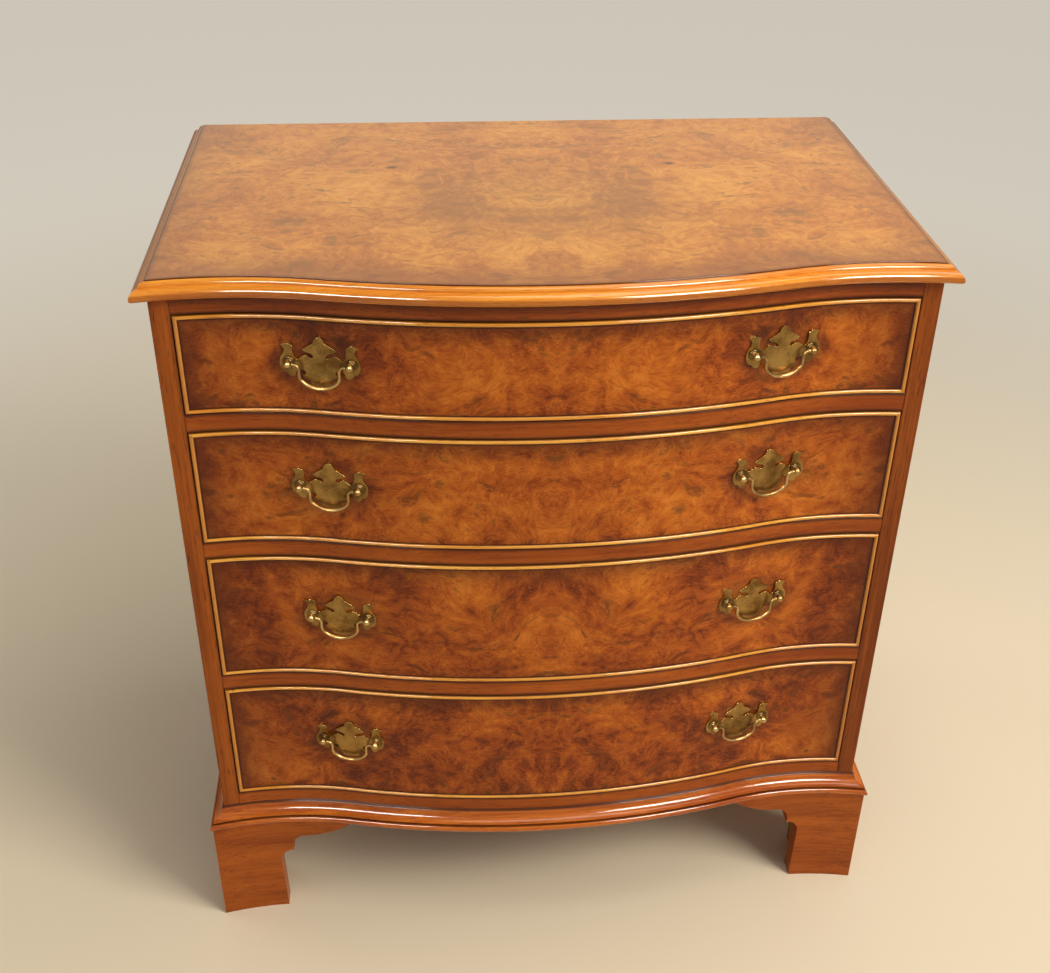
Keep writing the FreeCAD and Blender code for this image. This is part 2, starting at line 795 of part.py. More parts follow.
post = new_body("handle post")
ball_radius = "post_ball / 2"
neck_radius = "post_neck / 2"
stud_radius = "stud_diameter / 2"
ball_back = f"sqrt(({ball_radius})^2 - ({neck_radius})^2) - post_standoff"
half_section = draw(new_sketch(post, "XY_Plane"), [
    ("0", f"-post_standoff - {ball_radius}", ball_radius, 1),
    (ball_radius, "-post_standoff", ball_radius, 1),
    (neck_radius, ball_back),
    (neck_radius, "-post_flange_thickness"),
    ("post_flange / 2", "-post_flange_thickness"),
    ("post_flange / 2", "0"),
    (stud_radius, "0"),
    (stud_radius, STUD_LENGTH),
    ("0", STUD_LENGTH),
])
turned = post.newObject("PartDesign::Revolution", "Turned")
turned.Profile = half_section
turned.ReferenceAxis = (half_section, ["V_Axis"])
post.Tip = turned
eye = new_sketch(post, "YZ_Plane", "-bail_pin_depth")
ring(eye, "-post_standoff", "0", "bail_diameter / 2 + bail_pin_clearance")
pocket(post, eye, "post_ball", reverse=True)
right_post = mirrored("right handle post", post)

nut = new_body("handle nut")
hexagon = [(f"nut_across / sqrt(3) * cos({60 * corner})", f"nut_across / sqrt(3) * sin({60 * corner})")
           for corner in range(6)]
face = draw(new_sketch(nut, "XZ_Plane"), hexagon)
pad(nut, face, "nut_thickness", reverse=True)
pocket(nut, ring(new_sketch(nut, "XZ_Plane"), "0", "0", f"{stud_radius} + stud_clearance"))

stud_hole = doc.addObject("Part::Cylinder", "StudHole")
stud_hole.setExpression("Radius", bound(f"{stud_radius} + stud_clearance"))
stud_hole.setExpression("Height", bound("4 * front_thickness"))
place(stud_hole, y="-2 * front_thickness", angle="-90", axis=Vector(1, 0, 0))
hole_tool = group("stud hole", [stud_hole])

bail = new_body("handle bail")
bow_top = "bail_bow - bail_drop"
reach = "bow_radius / (bow_radius - bail_corner)"
corner_x = f"{reach} * corner_reach"
corner_z = f"bow_radius - bail_drop - {reach} * (bow_radius - bail_bow)"
eye_end = "post_spacing / 2 + bail_pin_depth / 2"
path = draw(new_sketch(bail, "XZ_Plane"), [
    (f"-({eye_end})", "0"),
    ("-(bail_half + bail_bend)", "0", "bail_bend", -1),
    ("-bail_half", "-bail_bend"),
    ("-bail_half", bow_top, "bail_corner", 1),
    (f"-{corner_x}", corner_z, "bow_radius", 1),
    (corner_x, corner_z, "bail_corner", 1),
    ("bail_half", bow_top),
    ("bail_half", "-bail_bend", "bail_bend", -1),
    ("bail_half + bail_bend", "0"),
    (eye_end, "0"),
], closed=False)
section = ring(new_sketch(bail, "YZ_Plane", f"-({eye_end})"), "0", "0", "bail_diameter / 2")
sweep = bail.newObject("PartDesign::AdditivePipe", "Sweep")
sweep.Profile = section
sweep.Spine = (path, [f"Edge{number}" for number in range(1, 10)])
bail.Tip = sweep

# Right half of the pierced backplate's edge from the crown down to the tail, as shares of half the
# width and of the height above or below the posts; each span is a smooth curve between sharp corners
PLATE_SPANS = [
    [(0, 1), (0.07, 0.97), (0.12, 0.88), (0.15, 0.76)],
    [(0.15, 0.76), (0.27, 0.66), (0.42, 0.51)],
    [(0.42, 0.51), (0.33, 0.41), (0.18, 0.33), (0.155, 0.25), (0.22, 0.19)],
    [(0.22, 0.19), (0.31, 0.27), (0.395, 0.28), (0.48, 0.2), (0.56, 0.125)],
    [(0.56, 0.125), (0.63, 0.24), (0.66, 0.42), (0.65, 0.61)],
    [(0.65, 0.61), (0.73, 0.7), (0.84, 0.71), (0.975, 0.65)],
    [(0.975, 0.65), (0.89, 0.56), (0.87, 0.46), (0.95, 0.22), (1, -0.08), (0.97, -0.28), (0.9, -0.4)],
    [(0.9, -0.4), (0.83, -0.43), (0.78, -0.53), (0.675, -0.56), (0.62, -0.46)],
    [(0.62, -0.46), (0.57, -0.33), (0.48, -0.3), (0.38, -0.33), (0.37, -0.41), (0.44, -0.47)],
    [(0.44, -0.47), (0.42, -0.58), (0.32, -0.67), (0.25, -0.73)],
    [(0.25, -0.73), (0.23, -0.84), (0.11, -0.9), (0, -0.91)],
]


def plate_shape():
    """The sawn brass plate with a hole for each stud."""
    half_width = value("plate_width") / 2
    rise = value("plate_rise")
    tail = -PLATE_SPANS[-1][-1][1]
    fall = (value("plate_height") - rise) / tail
    curves = []
    for sense, spans in ((1, PLATE_SPANS), (-1, [span[::-1] for span in PLATE_SPANS[::-1]])):
        for span in spans:
            spots = [Vector(sense * x * half_width, 0, z * (rise if z > 0 else fall)) for x, z in span]
            curve = Part.BSplineCurve()
            curve.interpolate(spots)
            curves.append(curve.toShape())
    sheet = Part.Face(Part.Wire(curves))
    plate = sheet.extrude(Vector(0, -value("plate_thickness"), 0))
    hole = value("stud_diameter") / 2 + value("stud_clearance")
    thickness = value("plate_thickness")
    for sense in (-1, 1):
        middle = Vector(sense * value("post_spacing") / 2, thickness, 0)
        plate = plate.cut(Part.makeCylinder(hole, 3 * thickness, middle, Vector(0, -1, 0)))
    return plate.Solids[0]


plate = doc.addObject("Part::Feature", "Plate")
plate.Label = "handle plate"
plate.Shape = plate_shape()


# A handle bears on the front at both ends of its plate, so it turns with the curve there
def front_line_y(x):
    return f"(({x}) < {turn(0)[0]} ? {belly_y(x, 0)} : {flank_y(x, 0)})"


near_y = front_line_y("handle_x - plate_width / 2")
far_y = front_line_y("handle_x + plate_width / 2")
HANDLE_ANGLE = f"atan((({far_y}) - ({near_y})) / plate_width)"
HANDLE_Y = f"(({far_y}) + ({near_y})) / 2 - plate_lift"


def handle_place(sense, height, along="0", out="0"):
    """A place on a handle: along its plate from the middle, and out from the plate's back."""
    angle = f"{sense} * {HANDLE_ANGLE}"
    return {
        "x": f"{sense} * handle_x + ({along}) * cos({angle}) + ({out}) * sin({angle})",
        "y": f"{HANDLE_Y} + ({along}) * sin({angle}) - ({out}) * cos({angle})",
        "z": height,
        "angle": angle,
    }


parts = [
    top_panel, top_moulding, left_side, right_side, *rails, bottom_board, back_panel, back_rail,
    drawer_runners, drawer_stops, base_moulding, front_left_foot, front_right_foot, rear_left_foot,
    rear_right_foot, foot_blocks,
]

for number in (1, 2, 3, 4):
    name = f"drawer_{number}"
    height = f"{name}_height"
    base = f"opening_{number} + front_gap"
    middle = f"{base} + {height} / 2 + handle_rise"

    plates = []
    fixings = []
    holes = []
    for sense, hand in ((-1, "left"), (1, "right")):
        at = f"{name} {hand}"
        plates.append(copy_of(f"{at} plate", plate, **handle_place(sense, middle)))
        hinge = handle_place(sense, middle, out="plate_thickness + post_standoff")
        parts.append(copy_of(f"{name}_{hand}_bail", bail, **hinge))
        for way, piece in ((-1, post), (1, right_post)):
            along = f"{way} * post_spacing / 2"
            outside = handle_place(sense, middle, along, "plate_thickness")
            inside = handle_place(sense, middle, along, "-front_thickness - nut_gap")
            fixings.append(copy_of(f"{at} post {way}", piece, **outside))
            fixings.append(copy_of(f"{at} nut {way}", nut, **inside))
            holes.append(copy_of(f"{at} hole {way}", hole_tool, **outside))
    parts.append(group(f"{name}_handle_plates", plates))
    parts.append(group(f"{name}_handle_posts", fixings))

    front = doc.addObject("Part::Cut", "Front")
    front.Label = f"{name}_front"
    front.Base = place(drawer_front(number, height), z=base)
    front.Tool = group(f"{name} stud holes", holes)
    parts.append(front)

    stile = place(upright_bead(f"{name} right bead", height), z=base)
    parts.append(group(f"{name}_cock_beads", [
        copy_of(f"{name} lower bead", level_bead, z=base),
        copy_of(f"{name} upper bead", upper_level_bead, z=f"{base} + {height}"),
        stile,
        mirrored(f"{name} left bead", stile),
    ]))

    side = place(drawer_side(f"{name}_right_side", height), z=base)
    parts += [side, mirrored(f"{name}_left_side", side)]

    back_foot = "bottom_z + drawer_bottom_thickness"
    parts.append(box(
        f"{name}_back", "-bottom_half", "drawer_rear - drawer_back_thickness", f"{base} + {back_foot}",
        "2 * bottom_half", "drawer_back_thickness",
        f"{height} - drawer_side_drop - drawer_back_drop - ({back_foot})"))

    floor = new_body(f"{name}_bottom")
    pad(floor, draw(new_sketch(floor, "XY_Plane"), bottom_outline()), "drawer_bottom_thickness")
    parts.append(place(floor, z=f"{base} + bottom_z"))

doc.recompute()

for item in doc.Objects:
    if "Invalid" in item.State or "Error" in item.State:
        raise RuntimeError(f"{item.Label} did not build: {item.State}")
os.makedirs("parts", exist_ok=True)
for part in parts:
    shape = part.Shape
    if shape.isNull() or not shape.isValid():
        raise RuntimeError(f"{part.Label} has no sound shape")
    shape.exportStep(f"parts/{part.Label}.step")
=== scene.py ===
import json
import math

import bmesh
import bpy
from mathutils import Matrix, Vector

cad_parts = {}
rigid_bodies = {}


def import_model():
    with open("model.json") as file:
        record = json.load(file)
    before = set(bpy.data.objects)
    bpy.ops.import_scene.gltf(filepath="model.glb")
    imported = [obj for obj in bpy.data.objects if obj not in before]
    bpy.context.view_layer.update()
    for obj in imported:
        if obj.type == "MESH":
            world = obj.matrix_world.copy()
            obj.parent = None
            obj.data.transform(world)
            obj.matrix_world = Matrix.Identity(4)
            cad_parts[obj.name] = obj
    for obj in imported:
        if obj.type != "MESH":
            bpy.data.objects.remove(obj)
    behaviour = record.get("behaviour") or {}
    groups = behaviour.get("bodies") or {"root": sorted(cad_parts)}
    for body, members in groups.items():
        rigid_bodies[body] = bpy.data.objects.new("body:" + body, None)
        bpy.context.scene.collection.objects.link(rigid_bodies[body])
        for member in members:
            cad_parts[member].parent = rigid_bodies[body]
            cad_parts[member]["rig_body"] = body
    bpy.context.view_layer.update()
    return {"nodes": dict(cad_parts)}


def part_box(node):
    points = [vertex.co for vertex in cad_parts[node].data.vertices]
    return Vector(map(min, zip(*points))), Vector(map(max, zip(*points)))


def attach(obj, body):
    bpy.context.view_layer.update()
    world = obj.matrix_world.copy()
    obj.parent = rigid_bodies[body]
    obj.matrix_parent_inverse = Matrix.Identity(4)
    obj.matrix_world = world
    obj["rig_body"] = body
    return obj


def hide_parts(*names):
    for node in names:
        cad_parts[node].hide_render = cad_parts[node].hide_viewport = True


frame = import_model()
nodes = frame["nodes"]

# Carcase sides
# Two upright boards of solid walnut, 19 mm thick, whose front edges are the stiles either side of
# the drawers. They are sawn to the serpentine line, rubbed with oil and French polished.


class Feed:
    """A socket of a node tree that takes part in plain sums; each sum adds its own Math node."""

    def __init__(self, tree, socket=None):
        self.tree = tree
        self.socket = socket

    def node(self, kind, settings=None, sockets=None, out=0):
        """Adds a node: its settings first, then the values or feeds of its sockets."""
        made = self.tree.nodes.new(kind)
        for name, setting in (settings or {}).items():
            if name == "stops":
                stops = made.color_ramp.elements
                while len(stops) < len(setting):
                    stops.new(1)
                for stop, (place, colour) in zip(stops, setting):
                    stop.position = place
                    stop.color = colour
            else:
                setattr(made, name, setting)
        for name, feed in (sockets or {}).items():
            if isinstance(feed, Feed):
                self.tree.links.new(feed.socket, made.inputs[name])
            else:
                made.inputs[name].default_value = feed
        return Feed(self.tree, made.outputs[out] if made.outputs else None)

    def part(self, out):
        """Another output of the same node."""
        return Feed(self.tree, self.socket.node.outputs[out])

    def math(self, operation, *terms):
        return self.node("ShaderNodeMath", {"operation": operation}, dict(enumerate(terms)))

    def __add__(self, other):
        return self.math("ADD", self, other)

    def __sub__(self, other):
        return self.math("SUBTRACT", self, other)

    def __rsub__(self, other):
        return self.math("SUBTRACT", other, self)

    def __mul__(self, other):
        return self.math("MULTIPLY", self, other)

    def __truediv__(self, other):
        return self.math("DIVIDE", self, other)

    def __rtruediv__(self, other):
        return self.math("DIVIDE", other, self)

    def __pow__(self, other):
        return self.math("POWER", self, other)

    def __mod__(self, other):
        return self.math("MODULO", self, other)

    def __gt__(self, other):
        return self.math("GREATER_THAN", self, other)

    def __lt__(self, other):
        return self.math("LESS_THAN", self, other)

    def __abs__(self):
        return self.math("ABSOLUTE", self)

    __radd__ = __add__
    __rmul__ = __mul__

    def least(self, other):
        return self.math("MINIMUM", self, other)

    def most(self, other):
        return self.math("MAXIMUM", self, other)

    def ease(self, start, end):
        """0 up to start and 1 from end on, with a smooth rise between."""
        return self.node("ShaderNodeMapRange", {"interpolation_type": "SMOOTHSTEP"},
                         {0: self, 1: start, 2: end, 3: 0.0, 4: 1.0})

    def vector(self, operation, other):
        key = "Scale" if operation == "SCALE" else 1
        return self.node("ShaderNodeVectorMath", {"operation": operation}, {0: self, key: other})

    def noise(self, scale, detail=2.0, roughness=0.5, out=0):
        return self.node("ShaderNodeTexNoise", {"noise_dimensions": "3D"}, {
            "Vector": self, "Scale": scale, "Detail": detail, "Roughness": roughness}, out)

    def between(self, low, high):
        """A colour from low to high by this share."""
        return self.node("ShaderNodeMix", {"data_type": "RGBA"}, {0: self, 6: low, 7: high}, 2)


def joined(x, y, z):
    """Three numbers or feeds as one vector; at least one of them is a feed."""
    source = next(item for item in (x, y, z) if isinstance(item, Feed))
    return source.node("ShaderNodeCombineXYZ", None, {0: x, 1: y, 2: z})


def stain(red, green, blue):
    """A colour as the eye names it, 0 to 255, for a shader."""
    levels = (level / 255 for level in (red, green, blue))
    return (*(((level + 0.055) / 1.055) ** 2.4 for level in levels), 1)


def new_finish(name):
    """An empty material; returns it with its shader and the point on the piece as three feeds."""
    material = bpy.data.materials.new(name)
    material.use_nodes = True
    shader = material.node_tree.nodes["Principled BSDF"]
    place = Feed(material.node_tree).node("ShaderNodeTexCoord", out="Object")
    split = place.node("ShaderNodeSeparateXYZ", None, {0: place})
    return material, shader, (split, split.part(1), split.part(2))


POLISH = {"Coat Roughness": 0.06, "Coat IOR": 1.5, "Specular IOR Level": 0.05}
PORE_DEPTH = 0.00012
RELIEF_STRENGTH = 0.6


def finish_with(shader, feeds, settings, height=None, depth=PORE_DEPTH):
    """Joins the varying values to the shader and sets the even ones on its own sockets."""
    tree = shader.id_data
    for name, feed in feeds.items():
        tree.links.new(feed.socket, shader.inputs[name])
    for name, setting in settings.items():
        shader.inputs[name].default_value = setting
    if height:
        bump = height.node("ShaderNodeBump", None, {
            "Height": height, "Distance": depth, "Strength": RELIEF_STRENGTH})
        tree.links.new(bump.socket, shader.inputs["Normal"])


def straight_grain(along, across, through, stains):
    """Colour, roughness and height of straight-grained wood; the grain runs along the first feed.
    The stains are those of its dark grain, its light grain and its pores."""
    dark, light, pore = stains
    band = joined(along * 1.6, across * 34.0, through * 34.0).noise(1.0, 3.0, 0.55)
    streak = joined(along * 7.0, across * 330.0, through * 330.0).noise(1.0, 2.0, 0.6)
    vessel = joined(along * 42.0, across * 950.0, through * 950.0).noise(1.0, 1.0, 0.5)
    tone = (band * 1.5 + streak * 0.8 - 0.75).ease(0.0, 0.8)
    open_pore = vessel.ease(0.6, 0.72) * (0.35 + 0.65 * band)
    colour = open_pore.between(tone.between(dark, light), pore)
    return colour, 0.34 + 0.14 * tone + 0.15 * open_pore, 1.0 - open_pore


def eased(node, width, steps=2):
    """A copy of a sawn piece, with its arrises rubbed round and the faces of glued mitres left out."""
    mesh = nodes[node].data.copy()
    mesh.attributes.remove(mesh.attributes["custom_normal"])
    work = bmesh.new()
    work.from_mesh(mesh)
    bmesh.ops.remove_doubles(work, verts=work.verts, dist=2e-6)
    bmesh.ops.dissolve_limit(work, angle_limit=math.radians(0.4), verts=work.verts, edges=work.edges)
    glued = [face for face in work.faces if all(len(edge.link_faces) > 2 for edge in face.edges)]
    bmesh.ops.delete(work, geom=glued, context="FACES_ONLY")
    work.to_mesh(mesh)
    work.free()
    mesh.shade_smooth()
    piece = bpy.data.objects.new(node + "_polished", mesh)
    bpy.context.scene.collection.objects.link(piece)
    soften = piece.modifiers.new("soften", "BEVEL")
    soften.width = width
    soften.segments = steps
    soften.limit_method = "ANGLE"
    soften.angle_limit = math.radians(35)
    level = piece.modifiers.new("level", "WEIGHTED_NORMAL")
    level.keep_sharp = True
    made_plain(piece)
    low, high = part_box(node)
    for corner in piece.data.vertices:
        corner.co = [min(max(place, least), most) for place, least, most in zip(corner.co, low, high)]
    return piece


def made_plain(piece):
    """Gives the piece what its modifiers make of it as its own mesh, and removes them."""
    shape = piece.evaluated_get(bpy.context.evaluated_depsgraph_get())
    piece.data = bpy.data.meshes.new_from_object(shape)
    piece.modifiers.clear()


def stands_for(piece, node, material=None):
    """Fixes the piece to the body that carries the node, and shows it instead of the node."""
    if material:
        piece.data.materials.clear()
        piece.data.materials.append(material)
    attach(piece, nodes[node]["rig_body"])
    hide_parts(node)


def toned_and_shaded(colour, distance, width, shadow, strength):
    """Darkens a finish towards an edge, as the polisher's toning and old wax do; at some edges it is
    painted shade.
    """
    return ((1 - distance.ease(0.0, width)) * strength).between(colour, shadow)


SIDE_LOW, SIDE_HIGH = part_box("right_side")
ARRIS = 0.0007
STILE_GAP_SHADE = 0.003
STILE_STAINS = (stain(114, 50, 10), stain(168, 86, 20), stain(58, 24, 6))


def stile_walnut():
    """Upright grain, with painted shade along the edge beside the drawers, where their gap lies in shadow.
    """
    material, shader, (x, y, z) = new_finish("stile walnut")
    colour, rough, height = straight_grain(z, x, y, STILE_STAINS)
    # Painted shade along the inner edge of the stile, beside the shadowed gap at the drawers.
    colour = toned_and_shaded(colour, abs(x) - SIDE_LOW.x, STILE_GAP_SHADE, stain(44, 18, 5), 0.4)
    finish_with(shader, {"Base Color": colour, "Roughness": rough}, {**POLISH, "Coat Weight": 0.3}, height)
    return material


upright = stile_walnut()
for node in ("left_side", "right_side"):
    stands_for(eased(node, ARRIS), node, upright)

# Rails
# Five walnut rails between the sides, band-sawn to the serpentine line and polished; each ends in
# a stub let into the sides. Their grain runs across the chest.
RAIL_ARRIS = 0.0005
RAIL_WAX_AND_SHADE = 0.0045
SHADE_UNDER_TOP = 0.02
RAIL_STAINS = (stain(136, 58, 10), stain(178, 90, 20), stain(96, 40, 8))


def rail_walnut(node):
    """Level grain, with dark wax and painted shade along both edges beside the beads, and a painted shadow
    of the top moulding under the top.
    """
    low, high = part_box(node)
    material, shader, (x, y, z) = new_finish(node.replace("_", " ") + " walnut")
    colour, rough, height = straight_grain(x, z, y, RAIL_STAINS)
    # Dark wax and painted shade along both edges, where the beads cast shade into the gaps.
    colour = toned_and_shaded(colour, (z - low.z).least(high.z - z), RAIL_WAX_AND_SHADE, stain(48, 20, 5), 0.85)
    # A painted shadow of the top moulding on the top rail.
    colour = toned_and_shaded(colour, SIDE_HIGH.z - z, SHADE_UNDER_TOP, stain(60, 24, 6), 0.75)
    finish_with(shader, {"Base Color": colour, "Roughness": rough}, {**POLISH, "Coat Weight": 0.35}, height)
    return material


for name in ("top", "upper_drawer", "middle_drawer", "lower_drawer", "bottom"):
    node = name + "_rail"
    stands_for(eased(node, RAIL_ARRIS), node, rail_walnut(node))

# Inner carcase
# Bottom board, thin back, back rail, runners, drawer stops and foot blocks: plain pine and thin
# board, left without polish, glued and pinned where nobody looks.
BOARD_STAINS = (stain(158, 116, 72), stain(190, 148, 100), stain(120, 82, 48))
BACK_STAINS = (stain(140, 98, 58), stain(172, 128, 82), stain(104, 68, 38))


def grained_wood(name, run, stains, coat=0.0):
    """Straight-grained wood, bare unless it has a coat; run turns the point on the piece into along,
    across and through the grain."""
    material, shader, point = new_finish(name)
    colour, rough, height = straight_grain(*run(*point), stains)
    finish_with(shader, {"Base Color": colour, "Roughness": rough}, {**POLISH, "Coat Weight": coat}, height)
    return material


board_across = grained_wood("pale board across", lambda x, y, z: (x, y, z), BOARD_STAINS)
board_deep = grained_wood("pale board deep", lambda x, y, z: (y, x, z), BOARD_STAINS)
board_upright = grained_wood("pale board upright", lambda x, y, z: (z, x, y), BACK_STAINS)
for node in ("bottom_board", "back_rail", "drawer_stops"):
    nodes[node].material_slots[0].material = board_across
nodes["drawer_runners"].material_slots[0].material = board_deep
for node in ("back_panel", "foot_blocks"):
    nodes[node].material_slots[0].material = board_upright

# Plinth moulding
# Three lengths of walnut worked with a cove, a fillet and a rounded band, mitred at the front
# corners and glued round the foot of the carcase.
HALF = SIDE_HIGH.x
CORNER_Y = SIDE_LOW.y
BACK_Y = SIDE_HIGH.y
# The front is one wide convex arc, the belly, between two shallow hollows that end at the corners.
BELLY = 0.0305
HOLLOW = 0.0054
HOLLOW_REACH = 0.0665
HOLLOW_X = HALF - HOLLOW_REACH
HOLLOW_RADIUS = (HOLLOW_REACH ** 2 + HOLLOW ** 2) / (2 * HOLLOW)
RADIUS_SUM = (HOLLOW_X ** 2 + (HOLLOW + BELLY) ** 2) / (2 * (HOLLOW + BELLY))
BELLY_RADIUS = RADIUS_SUM - HOLLOW_RADIUS
HOLLOW_Y = CORNER_Y + HOLLOW - HOLLOW_RADIUS
BELLY_Y = CORNER_Y - BELLY + BELLY_RADIUS


def front_line(x, off=0.0):
    """Depth of the serpentine front at x, stood forward by off; numbers or feeds."""
    reach = abs(x)
    out = BELLY_RADIUS + off
    bend = HOLLOW_RADIUS - off
    from_hollow = reach - HOLLOW_X
    belly = BELLY_Y - (out * out - reach * reach) ** 0.5
    flank = HOLLOW_Y + (bend * bend - from_hollow * from_hollow) ** 0.5
    return belly + (flank - belly) * (reach > out * (HOLLOW_X / RADIUS_SUM))


def curve_points(start, end, fullness, hollow=False, steps=10):
    """Points along an arc of a section; fullness is its radius over its chord."""
    start, end = Vector(start), Vector(end)
    way = end - start
    side = Vector((-way.y, way.x)) * (1 if hollow else -1)
    reach = math.sqrt(fullness ** 2 - 0.25)
    centre = (start + end) / 2 + side * reach
    first, last = start - centre, end - centre
    turn = first.angle_signed(last)
    return [centre + Matrix.Rotation(-turn * step / steps, 2) @ first for step in range(steps + 1)]


def section_object(name, points):
    """The outline of a section, in order, as a line of points (run, 0, height)."""
    mesh = bpy.data.meshes.new(name)
    spots = [(run, 0, height) for run, height in points]
    mesh.from_pydata(spots, [(step, step + 1) for step in range(len(spots) - 1)], [])
    return bpy.data.objects.new(name, mesh)


def new_tree(name, inputs):
    """A Geometry Nodes tree with named inputs; returns it with a feed for each of them."""
    tree = bpy.data.node_groups.new(name, "GeometryNodeTree")
    for label, kind in inputs.items():
        tree.interface.new_socket(label, in_out="INPUT", socket_type="NodeSocket" + kind)
    tree.interface.new_socket("Piece", in_out="OUTPUT", socket_type="NodeSocketGeometry")
    source = tree.nodes.new("NodeGroupInput")
    return tree, {label: Feed(tree, source.outputs[label]) for label in inputs}


def section_sheet(section, stations):
    """A sheet with one row to each point of the section; returns it with station, run and height."""
    shape = section.node("GeometryNodeObjectInfo", None, {"Object": section}, "Geometry")
    rows = shape.node("GeometryNodeAttributeDomainSize", None, {0: shape})
    sheet = shape.node("GeometryNodeMeshGrid", None, {"Vertices X": stations, "Vertices Y": rows})
    index = shape.node("GeometryNodeInputIndex")
    spot = shape.node("GeometryNodeSampleIndex", {"data_type": "FLOAT_VECTOR"}, {
        0: shape, 1: shape.node("GeometryNodeInputPosition"), 2: index % rows})
    split = spot.node("ShaderNodeSeparateXYZ", None, {0: spot})
    column = index / rows
    return sheet, column.math("FLOOR", column), split, split.part(2)


def shaped(sheet, x, y, z):
    """The sheet with its points in place and its seams closed."""
    placed = sheet.node("GeometryNodeSetPosition", None, {
        "Geometry": sheet, "Position": joined(x, y, z)})
    return placed.node("GeometryNodeMergeByDistance", None, {"Geometry": placed, "Distance": 1e-6})


def end_tree(piece, material):
    """Realises the piece, gives it its finish and joins it to the tree's output."""
    whole = piece.node("GeometryNodeRealizeInstances", None, {0: piece})
    smooth = whole.node("GeometryNodeSetShadeSmooth", None, {0: whole})
    dressed = smooth.node("GeometryNodeSetMaterial", None, {
        "Geometry": smooth, "Material": material})
    dressed.node("NodeGroupOutput", None, {"Piece": dressed})


def grown(name, tree, values, sharp=40):
    """An object made by a tree, as a plain closed mesh."""
    piece = bpy.data.objects.new(name, bpy.data.meshes.new(name))
    bpy.context.scene.collection.objects.link(piece)
    growth = piece.modifiers.new("growth", "NODES")
    growth.node_group = tree
    for item in tree.interface.items_tree:
        if item.name in values:
            growth[item.identifier] = values[item.name]
    made_plain(piece)
    work = bmesh.new()
    work.from_mesh(piece.data)
    bmesh.ops.holes_fill(work, edges=[edge for edge in work.edges if edge.is_boundary])
    bmesh.ops.recalc_face_normals(work, faces=work.faces)
    work.to_mesh(piece.data)
    work.free()
    piece.data.set_sharp_from_angle(angle=math.radians(sharp))
    return piece


def moulding_tree():
    """A section taken round the front and both sides, mitred at the front corners."""
    tree, feed = new_tree("mitred moulding", {
        "Section": "Object", "Stations": "Int", "Half width": "Float", "Back": "Float",
        "Foot": "Float", "Finish": "Material"})
    sheet, station, run, height = section_sheet(feed["Section"], feed["Stations"])
    share = (station - 1) / (feed["Stations"] - 3) * 2 - 1
    x = share.least(1).most(-1) * (feed["Half width"] + run)
    y = front_line(x, run)
    at_back = abs(share) > 1.0001
    length = shaped(sheet, x, y + (feed["Back"] - y) * at_back, feed["Foot"] + height)
    end_tree(length, feed["Finish"])
    return tree


def along_mitred(x, y, z):
    """Grain that follows the front length or a side length, changing at the mitre."""
    on_front = (CORNER_Y - y) > (abs(x) - HALF)
    hand = (x > 0) * 0.37
    along = y + hand + (x - y - hand) * on_front
    across = x + (y - x) * on_front
    return along, across, z


MOULDING_STATIONS = 195
MOULDING_SHARP = 30
MOULDING_SHEEN = 0.1
PLINTH_LOW, PLINTH_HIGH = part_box("base_moulding")
PLINTH_HEIGHT = PLINTH_HIGH.z - PLINTH_LOW.z
LEDGE = 0.0022
COVE_TOP = 0.0221
COVE_FOOT = 0.0113
FILLET = 0.0124
FILLET_FOOT = 0.0093
QUIRK = 0.0112
BAND = 0.0141
BAND_HEIGHT = 0.0081
COVE_FULLNESS = 0.8
BAND_FULLNESS = 0.571
WAX_FADE = 0.0004
PLINTH_STAINS = (stain(158, 68, 12), stain(212, 116, 30), stain(122, 52, 10))
PLINTH_RELIEF = 0.00004


def plinth_walnut():
    """Straight grain, with dark wax left on the ledge at the carcase, and dark wax with painted shade
    in the quirk over the band.
    """
    material, shader, (x, y, z) = new_finish("plinth walnut")
    colour, rough, height = straight_grain(*along_mitred(x, y, z), PLINTH_STAINS)
    run = (abs(x) - HALF).most(front_line(x) - y)
    ledge = 1 - run.ease(LEDGE - WAX_FADE, LEDGE + WAX_FADE)
    quirk_height = PLINTH_LOW.z + (FILLET_FOOT + BAND_HEIGHT) / 2
    # Dark wax with painted shade in the quirk, the recess over the band.
    quirk = 1 - abs(z - quirk_height).ease(WAX_FADE, 3 * WAX_FADE)
    wax_and_shade = ledge.most(quirk)
    colour = (wax_and_shade * 0.85).between(colour, stain(44, 18, 6))
    finish_with(shader, {"Base Color": colour, "Roughness": rough, "Coat Weight": 0.9 - 0.87 * wax_and_shade},
                {**POLISH, "Coat Roughness": MOULDING_SHEEN}, height, PLINTH_RELIEF)
    return material


mitred_moulding = moulding_tree()
cove = curve_points((LEDGE, COVE_TOP), (FILLET, COVE_FOOT), COVE_FULLNESS, hollow=True)
band = curve_points((BAND, BAND_HEIGHT), (BAND, 0), BAND_FULLNESS)
plinth_section = section_object("plinth section", [
    (0, PLINTH_HEIGHT), *cove, (FILLET, FILLET_FOOT), (QUIRK, BAND_HEIGHT), *band, (0, 0),
    (0, PLINTH_HEIGHT)])
plinth = grown("plinth_moulding", mitred_moulding, {
    "Section": plinth_section, "Stations": MOULDING_STATIONS, "Half width": HALF, "Back": BACK_Y,
    "Foot": PLINTH_LOW.z, "Finish": plinth_walnut()}, MOULDING_SHARP)
stands_for(plinth, "base_moulding")

# Bracket feet
# Each foot is two scrolled walnut boards, mitred at the front corners and butted at the back, with
# the grain running along the boards; the front faces follow the hollow of the front.
BACK_BOARD = 0.02
FOOT_STAINS = (stain(136, 60, 10), stain(180, 92, 22), stain(106, 45, 9))


